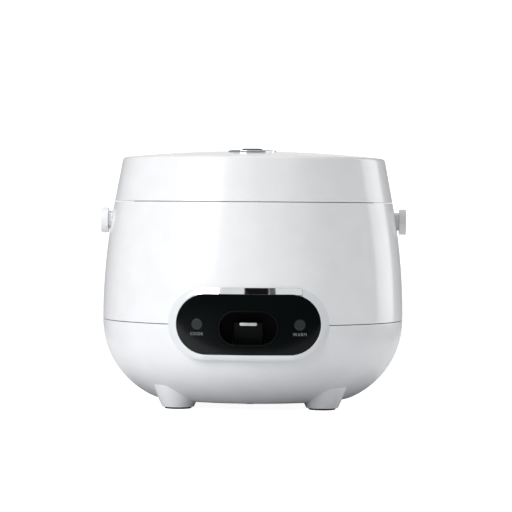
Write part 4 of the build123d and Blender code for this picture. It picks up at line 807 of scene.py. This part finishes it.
for side in (-1, 1):
    cut(panel, forward_rod("lamp_cutter", LAMP_R + FIT, side * LAMP_X, LAMP_Z, AHEAD_Y, BEHIND_Y))
soften(panel, 0, 0)
corners = [Vector(corner.vector) for corner in panel.data.corner_normals]
for face in panel.data.polygons:
    rims = [panel.data.vertices[i].co.xy.length for i in face.vertices]
    if min(rims) > (PANEL_R - 0.01) * MM:
        for loop in face.loop_indices:
            place = panel.data.vertices[panel.data.loops[loop].vertex_index].co
            corners[loop] = Vector((place.x, place.y, 0)).normalized()
panel.data.normals_split_custom_set(corners)
gloss_acrylic = moulded("gloss_black_acrylic", "#05090A", 0.05, wave_mm=40, wave=0.003, grain_mm=1.2, grain=0.0008)
dress(panel, gloss_acrylic)
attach(panel, "body")
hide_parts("panel")

# ---------------------------------------------------------------- Bright strip
# Chrome-plated ABS over the top of the frame, leaning back so that it mirrors what hangs above the front.
STRIP_R = 127.0
STRIP_TOP_R = 125.2
STRIP_LOW_Z = 95.0
STRIP_HIGH_Z = 100.6
chrome_strip = strip_blank("strip_moulding", 0.0)
leaning = turned("leaning_drum", [
    (AXIS_R, DRUM_LOW_Z), (STRIP_R, DRUM_LOW_Z), (STRIP_R, STRIP_LOW_Z), (STRIP_TOP_R, STRIP_HIGH_Z),
    (STRIP_TOP_R, DRUM_HIGH_Z), (AXIS_R, DRUM_HIGH_Z)], segments=FRONT_ROUND)
cut(chrome_strip, leaning, "INTERSECT")
soften(chrome_strip, 0.2, 2, 50)
chrome = metal("bright_chrome_plate", "#E6E8EA", 0.03, 0.07, "plain", 9.0, 0.001)
dress(chrome_strip, chrome)
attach(chrome_strip, "body")
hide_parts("chrome_strip")

# ---------------------------------------------------------------- Lever well
# A deep oval cup of satin black ABS behind the face; its rounded lip catches a thin line of light.
# The floor is open below, where the lever comes through.
WELL_LIP = 1.5
WELL_BACK_Y = -101.0
SLOT_HALF = 13.0
SLOT_LOW_Z = 39.5
SLOT_TOP_Z = 63.5
SLOT_FRONT_Y = -121.0
lever_well = upright_pill("well_moulding", RECESS_W - 2 * FIT, RECESS_H - 2 * FIT, RECESS_Z, -141, WELL_BACK_Y, 24)
inner_w = RECESS_W - 2 * FIT - 2 * WELL_LIP
inner_h = RECESS_H - 2 * FIT - 2 * WELL_LIP
cut(lever_well, upright_pill("well_room", inner_w, inner_h, RECESS_Z, -145, WELL_BACK_Y - 2, 24))
cut(lever_well, drum(PANEL_R + 0.2), "INTERSECT")
cut(lever_well, block("lever_slot", (-SLOT_HALF, SLOT_FRONT_Y, SLOT_LOW_Z), (SLOT_HALF, WELL_BACK_Y + 5, SLOT_TOP_Z)))
soften(lever_well, 0.5, 3)
satin_abs = moulded("satin_black_abs", "#030404", 0.5, grain_mm=0.35, grain=0.015, ior=1.2)
dress(lever_well, satin_abs)
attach(lever_well, "body")
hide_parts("lever_well")

# ---------------------------------------------------------------- Cook lever
# A paddle of the same black ABS on a cranked arm that runs back under the heater; a bright plated bar
# is set into the top of the paddle, with a small dark dimple in its middle.
LEVER_PIVOT_Y = -58.0
LEVER_PIVOT_Z = 28.0
PADDLE_HALF = 12.0
ARM_HALF = 4.0
LEG_HALF = 4.8
PIN_HOLE_R = 2.05


def convex_prism(name, outline, low_x, high_x):
    """A prism along X: a block trimmed flat along each edge of a convex (y, z) outline
    that runs counter-clockwise seen from +X."""
    ys = [point[0] for point in outline]
    zs = [point[1] for point in outline]
    piece = block(name, (low_x, min(ys), min(zs)), (high_x, max(ys), max(zs)))
    bpy.ops.object.mode_set(mode="EDIT")
    for (y, z), (next_y, next_z) in zip(outline, outline[1:] + outline[:1]):
        if next_y == y or next_z == z:
            continue
        bpy.ops.mesh.select_all(action="SELECT")
        bpy.ops.mesh.bisect(plane_co=(0, y * MM, z * MM), plane_no=Vector((0, next_z - z, y - next_y)).normalized(),
                            use_fill=True, clear_outer=True, threshold=0.001 * MM)
    bpy.ops.mesh.select_all(action="SELECT")
    bpy.ops.mesh.normals_make_consistent(inside=False)
    bpy.ops.object.mode_set(mode="OBJECT")
    return piece


def cross_rod(name, radius, y, z, low_x, high_x, vertices=64):
    """A round rod lying along X."""
    nothing_selected()
    bpy.ops.mesh.primitive_cylinder_add(
        vertices=vertices, radius=radius * MM, depth=(high_x - low_x) * MM,
        location=((low_x + high_x) / 2 * MM, y * MM, z * MM), rotation=(0, pi / 2, 0))
    rod = bpy.context.object
    rod.name = name
    settle(rod)
    return rod


def rounded_block(name, low, high, corner, axis, steps=8):
    """A block whose four edges along one axis are rounded: a thin cylinder pulled out to the corners."""
    along = "XYZ".index(axis)
    half = [(b - a) / 2 for a, b in zip(low, high)]
    turn = ((0, pi / 2, 0), (pi / 2, 0, 0), (0, 0, 0))[along]
    nothing_selected()
    bpy.ops.mesh.primitive_cylinder_add(
        vertices=4 * steps, radius=corner * MM, depth=2 * half[along] * MM, rotation=turn)
    piece = bpy.context.object
    piece.name = name
    settle(piece)
    for across in range(3):
        for side in (-1, 1) if across != along else ():
            pull_side(piece, across, side, half[across] - corner, 0.001)
    piece.location = [(a + b) / 2 * MM for a, b in zip(low, high)]
    settle(piece)
    return piece


paddle = convex_prism(
    "lever_moulding", [(-112.2, 53), (-107.5, 53), (-108.5, 66), (-112, 74), (-116.6, 73), (-114, 60)],
    -PADDLE_HALF, PADDLE_HALF)
soften(paddle, 1.3, 4)
front_leg = convex_prism("front_leg", [(-110, 56), (-96.6, 25.6), (-88, 30), (-107, 62)], -LEG_HALF, LEG_HALF)
long_arm = convex_prism(
    "long_arm",
    [(-98, 25), (LEVER_PIVOT_Y, 23.5), (3, 25.5), (3, 29.4), (-12, 29.4), (LEVER_PIVOT_Y, 32.5), (-92, 31)],
    -ARM_HALF, ARM_HALF)
cut(front_leg, long_arm, "UNION")
cut(front_leg, cross_rod("pin_hole", PIN_HOLE_R, LEVER_PIVOT_Y, LEVER_PIVOT_Z, -10, 10))
soften(front_leg, 0.4, 2)
cut(paddle, front_leg, "UNION")
BAR_HALF = 7.0
BAR_LOW_Z = 70.1
BAR_HIGH_Z = 72.8
DIMPLE_R = 1.0
DIMPLE_DEPTH = 1.4
BAR_FRONT_Y = -117.4
BAR_BACK_Y = -115.4
bar_low = (-BAR_HALF, BAR_FRONT_Y, BAR_LOW_Z)
bar_high = (BAR_HALF, BAR_BACK_Y, BAR_HIGH_Z)
cut(paddle, rounded_block("bar_room", bar_low, bar_high, 1.2, "Y"))
dress(paddle, satin_abs)
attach(paddle, "lever")
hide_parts("cook_lever")
lever_bar = rounded_block("bar_plating", bar_low, bar_high, 1.2, "Y")
soften(lever_bar, 0.45, 3)
cut(lever_bar, forward_rod(
    "bar_dimple", DIMPLE_R, 0, (BAR_LOW_Z + BAR_HIGH_Z) / 2, BAR_FRONT_Y - 1, BAR_FRONT_Y + DIMPLE_DEPTH, 24))
bar_chrome = metal("satin_chrome_plate", "#F2F3F4", 0.34, 0.42, "plain", 3.0, 0.002)
dress(lever_bar, bar_chrome)
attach(lever_bar, "lever")
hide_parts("lever_bar")

# ---------------------------------------------------------------- Lamps and labels
# Smoked polycarbonate lenses, slightly domed, standing just clear of the black face,
# with one printed word under each.
LAMP_BACK_Y = -112.0
smoked_lens = moulded("smoked_polycarbonate", "#2B2F31", 0.16, grain_mm=1.5, grain=0.01, coat=0.2)
for lamp_name, side in (("lamp_cook", -1), ("lamp_warm", 1)):
    lens = forward_rod(lamp_name + "_lens", LAMP_R, side * LAMP_X, LAMP_Z, AHEAD_Y, LAMP_BACK_Y, 64)
    cut(lens, drum(PANEL_R + 0.3), "INTERSECT")
    soften(lens, 0.5, 3)
    dress(lens, smoked_lens)
    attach(lens, "body")
    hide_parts(lamp_name)

LABEL_Z = 62.6
LABEL_CAP = 2.4
LABEL_HALF_THICK = 0.08
label_ink = moulded("pale_printing_ink", "#7E8486", 0.5, wave_mm=3, wave=0.0, grain_mm=0.2, grain=0.004)
for word, side in (("COOK", -1), ("WARM", 1)):
    nothing_selected()
    bpy.ops.object.text_add()
    label = bpy.context.object
    label.name = "label_" + word.lower()
    label.data.body = word
    label.data.align_x = "CENTER"
    label.data.size = LABEL_CAP / 0.69 * MM
    label.data.space_character = 1.15
    label.data.extrude = LABEL_HALF_THICK * MM
    label.data.resolution_u = 3
    bpy.ops.object.convert(target="MESH")
    bpy.ops.object.mode_set(mode="EDIT")
    bpy.ops.mesh.select_all(action="SELECT")
    bpy.ops.mesh.remove_doubles(threshold=0.001 * MM)
    bpy.ops.object.mode_set(mode="OBJECT")
    bearing = asin(side * LAMP_X / PANEL_R)
    label.rotation_euler = (pi / 2, 0, bearing)
    reach = (PANEL_R + LABEL_HALF_THICK / 2) * MM
    label.location = (reach * sin(bearing), -reach * cos(bearing), LABEL_Z * MM)
    settle(label)
    dress(label, label_ink)
    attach(label, "body")

# ---------------------------------------------------------------- Hinge block and pins
# A white block on the back wall with two eyes for the lid's pin, moulded in one piece with the shell.
# It is hollowed between the eyes, where the lid's knuckle turns.
HINGE_Y = 124.0
HINGE_Z = 171.0
HINGE_EYE_R = 6.0
HINGE_HALF = 32.0
KNUCKLE_HALF = 19.4
HINGE_PIN_R = 2.5
BLOCK_LOW_Z = 150.0
BLOCK_REAR_Y = 130.0
KNUCKLE_FLOOR_Z = 164.5
hinge_block = convex_prism(
    "hinge_block_moulding",
    [(100, BLOCK_LOW_Z), (BLOCK_REAR_Y - 3, BLOCK_LOW_Z), (BLOCK_REAR_Y, BLOCK_LOW_Z + 4), (BLOCK_REAR_Y, HINGE_Z),
     (HINGE_Y - HINGE_EYE_R, HINGE_Z), (100, 167.6)], -HINGE_HALF, HINGE_HALF)
cut(hinge_block, cross_rod("eyes", HINGE_EYE_R, HINGE_Y, HINGE_Z, -HINGE_HALF, HINGE_HALF), "UNION")
cut(hinge_block, cross_rod("pin_room", HINGE_PIN_R, HINGE_Y, HINGE_Z, -40, 40))
room_half = KNUCKLE_HALF + 0.5
cut(hinge_block, block("knuckle_room", (-room_half, 90, KNUCKLE_FLOOR_Z), (room_half, REARWARD_Y, 190)))
cut(hinge_block, solid_body, keep_tool=True)
soften(hinge_block, 0.6, 3)
dress(hinge_block, white_polypropylene)
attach(hinge_block, "body")
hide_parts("hinge_block")
dress(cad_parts["handle_pivots"], white_polypropylene)

# ---------------------------------------------------------------- Drip cup and its pocket
# A small rounded cup of grey polypropylene that slides out backwards from a white pocket.
# The pocket is a plain box let into the wall of the body shell.
CUP_FRONT_Y = 107.0
CUP_REAR_Y = 131.0
CUP_WALL = 1.6
CUP_CORNER = 4.0
POCKET_FRONT_Y = 103.5
POCKET_REAR_Y = 119.0
ROOM_MARGIN = 0.6
drip_cup = rounded_block(
    "drip_cup_moulding", (-CUP_HALF, CUP_FRONT_Y, CUP_LOW_Z), (CUP_HALF, CUP_REAR_Y, CUP_HIGH_Z), CUP_CORNER, "Z")
cut(drip_cup, rounded_block(
    "cup_room", (-CUP_HALF + CUP_WALL, CUP_FRONT_Y + CUP_WALL, CUP_LOW_Z + CUP_WALL),
    (CUP_HALF - CUP_WALL, CUP_REAR_Y - CUP_WALL, CUP_HIGH_Z + 5), CUP_CORNER - CUP_WALL, "Z"))
soften(drip_cup, 0.4, 3)
dress(drip_cup, grey_polypropylene)
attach(drip_cup, "drip_cup")
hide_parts("drip_cup")
pocket_low = (-CUP_HALF - POCKET_MARGIN, POCKET_FRONT_Y, CUP_LOW_Z - POCKET_MARGIN)
pocket_high = (CUP_HALF + POCKET_MARGIN, POCKET_REAR_Y, CUP_HIGH_Z + POCKET_MARGIN)
cup_holder = block("cup_pocket_moulding", pocket_low, pocket_high)
cut(cup_holder, block(
    "pocket_room", (-CUP_HALF - ROOM_MARGIN, POCKET_FRONT_Y + 2, CUP_LOW_Z - ROOM_MARGIN),
    (CUP_HALF + ROOM_MARGIN, POCKET_REAR_Y + 5, CUP_HIGH_Z + ROOM_MARGIN)))
soften(cup_holder, 0.3, 2)
dress(cup_holder, white_polypropylene)
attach(cup_holder, "body")
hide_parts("cup_holder")

# ---------------------------------------------------------------- Mains inlet
# A black glass-filled nylon socket with a flange against the bowl and three rounded brass pins.
# The nylon is matt and slightly rough, the brass has fine drawing lines.
INLET_FACE_Y = 121.5
INLET_BACK_Y = 100.0
SOCKET_FLOOR_Y = 107.0
SOCKET_HALF_X = 12.25
SOCKET_HALF_Z = 8.5
FLANGE = 2.0
FLANGE_DEPTH = 12.0
flange = rounded_block(
    "inlet_moulding", (-INLET_HALF_X - FLANGE, INLET_FACE_Y - FLANGE_DEPTH, INLET_Z - INLET_HALF_Z - FLANGE),
    (INLET_HALF_X + FLANGE, INLET_FACE_Y, INLET_Z + INLET_HALF_Z + FLANGE), 0.8, "Y", 4)
cut(flange, solid_body, keep_tool=True)
cut(flange, block("inlet_core", (-INLET_HALF_X, INLET_BACK_Y, INLET_Z - INLET_HALF_Z),
                  (INLET_HALF_X, INLET_FACE_Y, INLET_Z + INLET_HALF_Z)), "UNION")
cut(flange, rounded_block("socket_room", (-SOCKET_HALF_X, SOCKET_FLOOR_Y, INLET_Z - SOCKET_HALF_Z),
                          (SOCKET_HALF_X, REARWARD_Y, INLET_Z + SOCKET_HALF_Z), 2.0, "Y"))
soften(flange, 0.35, 2)
dress(flange, black_nylon)
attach(flange, "body")
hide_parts("power_inlet")
PIN_LENGTH = 10.0
pins = []
for pin_x, pin_z in ((-7, INLET_Z - 2), (0, INLET_Z + 2), (7, INLET_Z - 2)):
    pin = rounded_block("inlet_blades", (pin_x - 2, SOCKET_FLOOR_Y, pin_z - 1),
                        (pin_x + 2, SOCKET_FLOOR_Y + PIN_LENGTH, pin_z + 1), 0.4, "Y", 4)
    soften(pin, 0.35, 2)
    pins.append(pin)
nothing_selected()
for pin in pins:
    pin.select_set(True)
bpy.context.view_layer.objects.active = pins[0]
bpy.ops.object.join()
dress(pins[0], brass)
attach(pins[0], "body")
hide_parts("inlet_pins")

# ---------------------------------------------------------------- Lid
# A shallow domed cap of the same white plastic; its conical wall carries on the line of the body.
# It is pierced for the button's ring and for the steam vent.
LID_SHOULDER_R = 108.9
LID_SHOULDER_Z = 204.7
LID_TOP_Z = 210.2
LID_EDGE_ARC = 3.0
LID_STEPS = 10
DOME_STEPS = 16


def lid_radius(z, inset=0.0):
    """Radius of the lid's conical wall at a height."""
    seam_r = belly_radius(SEAM_Z)
    slope = (seam_r - LID_SHOULDER_R) / (LID_SHOULDER_Z - SEAM_Z)
    return seam_r - slope * (z - SEAM_Z) - inset * sqrt(1 + slope ** 2)


def lid_outline(inset):
    """Stations up the lid's wall, round its shoulder and over the dome to the axis."""
    low = SEAM_Z + SEAM_GAP / 2
    arc = LID_EDGE_ARC - inset / 2
    dome_rise = LID_TOP_Z - LID_SHOULDER_Z
    dome_arc = (LID_SHOULDER_R ** 2 + dome_rise ** 2) / (2 * dome_rise) - inset
    dome_z = LID_TOP_Z - inset - dome_arc
    tilt = atan2(lid_radius(low) - lid_radius(low + 1), 1)
    edge_z = LID_SHOULDER_Z - inset - arc * 1.02
    edge_r = lid_radius(edge_z, inset) - arc / cos(tilt)
    stations = []
    for step in range(LID_STEPS):
        z = low + (edge_z - low) * step / LID_STEPS
        stations.append((lid_radius(z, inset), z))
    top_turn = pi / 2 - atan2(edge_r, dome_arc)
    for step in range(LID_STEPS + 1):
        turn = tilt + (top_turn - tilt) * step / LID_STEPS
        stations.append((edge_r + arc * cos(turn), edge_z + arc * sin(turn)))
    last_r, last_z = stations[-1]
    for step in range(1, DOME_STEPS + 1):
        radius = last_r * (1 - step / DOME_STEPS) + AXIS_R * step / DOME_STEPS
        height = dome_z + sqrt(dome_arc ** 2 - radius ** 2)
        drift = last_z - dome_z - sqrt(dome_arc ** 2 - last_r ** 2)
        stations.append((radius, height + drift * (radius / last_r) ** 2))
    return stations


BUTTON_Y = -50.0
RING_R = 19.5
RING_LOW_Z = 207.9
SLEEVE_R = 10.5
VENT_Y = 45.0
VENT_SEAT_R = 16.0
HOLE_LOW_Z = 195.0
ABOVE_Z = 220.0
lid_cover = turned("lid_cover_moulding", lid_outline(WALL)[::-1] + lid_outline(0))


def round_cutter(name, radius, low_z, high_z, centre):
    """A plain upright cylinder, used only to cut a hole."""
    return turned(name, [(radius, low_z), (radius, high_z)], centre, 96)


cut(lid_cover, round_cutter("ring_cutter", RING_R + 0.05, RING_LOW_Z, ABOVE_Z, (0, BUTTON_Y)))
cut(lid_cover, round_cutter("sleeve_cutter", SLEEVE_R, HOLE_LOW_Z, ABOVE_Z, (0, BUTTON_Y)))
cut(lid_cover, round_cutter("vent_cutter", VENT_SEAT_R, HOLE_LOW_Z, ABOVE_Z, (0, VENT_Y)))
soften(lid_cover, 0.35, 3)
dress(lid_cover, white_polypropylene)
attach(lid_cover, "lid")
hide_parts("lid_cover")

# ---------------------------------------------------------------- Lid knuckle
# A white knuckle moulded on the lid. It turns on the steel pin between the two eyes
# of the hinge block.
solid_lid = turned("lid_cutter", [(AXIS_R, SEAM_Z + SEAM_GAP / 2)] + lid_outline(0), segments=FRONT_ROUND)
knuckle = convex_prism(
    "lid_knuckle_moulding",
    [(100, 169), (HINGE_Y, 169), (HINGE_Y, HINGE_Z + HINGE_EYE_R), (100, HINGE_Z + HINGE_EYE_R + 2)],
    -KNUCKLE_HALF, KNUCKLE_HALF)
cut(knuckle, cross_rod("knuckle_eye", HINGE_EYE_R, HINGE_Y, HINGE_Z, -KNUCKLE_HALF, KNUCKLE_HALF), "UNION")
cut(knuckle, cross_rod("pin_room", HINGE_PIN_R + 0.05, HINGE_Y, HINGE_Z, -40, 40))
cut(knuckle, solid_lid)
soften(knuckle, 0.5, 3)
dress(knuckle, white_polypropylene)
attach(knuckle, "lid")
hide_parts("lid_hinge_arm")

# ---------------------------------------------------------------- Lid inside
# A satin grey liner screwed to the cover, a spun aluminium plate with fine rings,
# and a soft white silicone seal round it.
silicone = rubber("white_silicone_rubber", "#DADBD6", 0.45)
dress(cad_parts["lid_gasket"], silicone)
dress(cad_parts["lid_plate"], spun_aluminium)
for node_name in ("lid_liner", "vent_body"):
    dress(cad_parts[node_name], grey_polypropylene)
dress(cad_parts["lid_screws"], bright_zinc)

# ---------------------------------------------------------------- Release button
# A mirror-plated ring let into the dome, with a guide sleeve below,
# and a satin black button slightly dished on top.
RING_TOP_Z = 209.9
BUTTON_R = 8.25
BUTTON_TOP_Z = 211.2
BUTTON_LOW_Z = 204.0
STEM_R = 4.0
STEM_LOW_Z = 189.0
RING_BORE_R = 8.6
STEM_BORE_R = 4.3
SLEEVE_LOW_Z = 196.0
SLEEVE_FLOOR_Z = 198.0
button_ring = turned("button_ring_plating", [
    (STEM_BORE_R, SLEEVE_LOW_Z), (SLEEVE_R, SLEEVE_LOW_Z), (SLEEVE_R, RING_LOW_Z), (RING_R, RING_LOW_Z),
    (RING_R, RING_TOP_Z - 0.5), (RING_R - 0.8, RING_TOP_Z), (RING_BORE_R + 1.2, RING_TOP_Z - 0.05),
    (RING_BORE_R, RING_TOP_Z - 0.7), (RING_BORE_R, SLEEVE_FLOOR_Z), (STEM_BORE_R, SLEEVE_FLOOR_Z),
    (STEM_BORE_R, SLEEVE_LOW_Z)], (0, BUTTON_Y), 128)
soften(button_ring, 0.2, 2, 25)
dress(button_ring, chrome)
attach(button_ring, "lid")
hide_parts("button_ring")
button = turned("button_moulding", [
    (AXIS_R, STEM_LOW_Z), (STEM_R, STEM_LOW_Z), (STEM_R, BUTTON_LOW_Z), (BUTTON_R, BUTTON_LOW_Z),
    (BUTTON_R, BUTTON_TOP_Z - 0.2), (BUTTON_R - 0.9, BUTTON_TOP_Z), (BUTTON_R - 2.5, BUTTON_TOP_Z - 0.3),
    (BUTTON_R - 5, BUTTON_TOP_Z - 0.6), (AXIS_R, BUTTON_TOP_Z - 0.7)], (0, BUTTON_Y), 96)
soften(button, 0.3, 3, 30)
dress(button, satin_abs)
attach(button, "button")
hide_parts("button")

# ---------------------------------------------------------------- Steam vent cap
# A white cap that lifts out for washing: a flat head on a short tube,
# with two steam slots through it.
CAP_R = 15.4
CAP_TOP_Z = 211.4
CAP_LOW_Z = 206.5
CAP_ROOF_Z = 208.8
TUBE_OUTER_R = 6.8
TUBE_INNER_R = 5.2
TUBE_LOW_Z = 190.0
vent_cap = turned("vent_cap_moulding", [
    (AXIS_R, CAP_ROOF_Z), (TUBE_INNER_R, CAP_ROOF_Z), (TUBE_INNER_R, TUBE_LOW_Z), (TUBE_OUTER_R, TUBE_LOW_Z),
    (TUBE_OUTER_R, CAP_LOW_Z), (CAP_R, CAP_LOW_Z), (CAP_R, CAP_TOP_Z - 0.6), (CAP_R - 1.4, CAP_TOP_Z),
    (AXIS_R, CAP_TOP_Z)], (0, VENT_Y), 128)
SLOT_SPACING = 4.5
SLOT_LENGTH = 9.0
SLOT_WIDTH = 2.0
for side in (-1, 1):
    slot_y = VENT_Y + side * SLOT_SPACING / 2
    cut(vent_cap, rounded_block(
        "steam_slot", (-SLOT_LENGTH / 2, slot_y - SLOT_WIDTH / 2, HOLE_LOW_Z + 5),
        (SLOT_LENGTH / 2, slot_y + SLOT_WIDTH / 2, ABOVE_Z), SLOT_WIDTH / 2 - 0.02, "Z", 5))
soften(vent_cap, 0.35, 3, 30)
dress(vent_cap, white_polypropylene)
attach(vent_cap, "vent_cap")
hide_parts("vent_cap")

# ---------------------------------------------------------------- Carrying handle
# A flat strap of the white plastic bent round the back of the body,
# ending in a round lug on each side that turns on a moulded pivot.
HANDLE_Z = 152.2
HANDLE_INNER_X = 121.5
HANDLE_THICKNESS = 5.4
HANDLE_HEIGHT = 15.0
HANDLE_CORNER = 90.0
HANDLE_REAR_Y = 142.0
HANDLE_DISC_R = 10.5
HANDLE_PIN_R = 3.05
PIN_DEPTH = 4.2
LUG_PROUD = 0.15
corner_y = HANDLE_REAR_Y - HANDLE_CORNER
corner_x = HANDLE_INNER_X + HANDLE_THICKNESS / 2 - HANDLE_CORNER
nothing_selected()
bpy.ops.mesh.primitive_plane_add(
    size=1, location=(-(HANDLE_INNER_X + HANDLE_THICKNESS / 2) * MM, 0, HANDLE_Z * MM), rotation=(pi / 2, 0, 0))
handle = bpy.context.object
handle.name = "handle_moulding"
handle.scale = (HANDLE_THICKNESS * MM, HANDLE_HEIGHT * MM, 1)
settle(handle)
bpy.ops.object.mode_set(mode="EDIT")
bpy.ops.mesh.select_all(action="SELECT")
bpy.ops.mesh.extrude_region_move(TRANSFORM_OT_translate={"value": (0, corner_y * MM, 0)})
bpy.ops.mesh.spin(steps=28, angle=pi / 2, center=(-corner_x * MM, corner_y * MM, 0), axis=(0, 0, 1))
bpy.ops.mesh.extrude_region_move(TRANSFORM_OT_translate={"value": (2 * corner_x * MM, 0, 0)})
bpy.ops.mesh.spin(steps=28, angle=pi / 2, center=(corner_x * MM, corner_y * MM, 0), axis=(0, 0, 1))
bpy.ops.mesh.extrude_region_move(TRANSFORM_OT_translate={"value": (0, -corner_y * MM, 0)})
bpy.ops.mesh.select_all(action="SELECT")
bpy.ops.mesh.remove_doubles(threshold=0.001 * MM)
bpy.ops.mesh.select_all(action="DESELECT")
bpy.ops.mesh.select_interior_faces()
bpy.ops.mesh.delete(type="FACE")
bpy.ops.mesh.select_all(action="SELECT")
bpy.ops.mesh.normals_make_consistent(inside=False)
bpy.ops.object.mode_set(mode="OBJECT")
for side in (-1, 1):
    near_x, far_x = sorted((side * (HANDLE_INNER_X - LUG_PROUD),
                            side * (HANDLE_INNER_X + HANDLE_THICKNESS + LUG_PROUD)))
    cut(handle, cross_rod("lug", HANDLE_DISC_R, 0, HANDLE_Z, near_x, far_x, 96), "UNION")
soften(handle, 1.1, 4, 50)
for side in (-1, 1):
    near_x, far_x = sorted((side * (HANDLE_INNER_X - 1), side * (HANDLE_INNER_X + PIN_DEPTH)))
    cut(handle, cross_rod("lug_bore", HANDLE_PIN_R, 0, HANDLE_Z, near_x, far_x, 48))
dress(handle, white_polypropylene)
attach(handle, "handle")
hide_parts("handle")
bpy.data.objects.remove(solid_body)
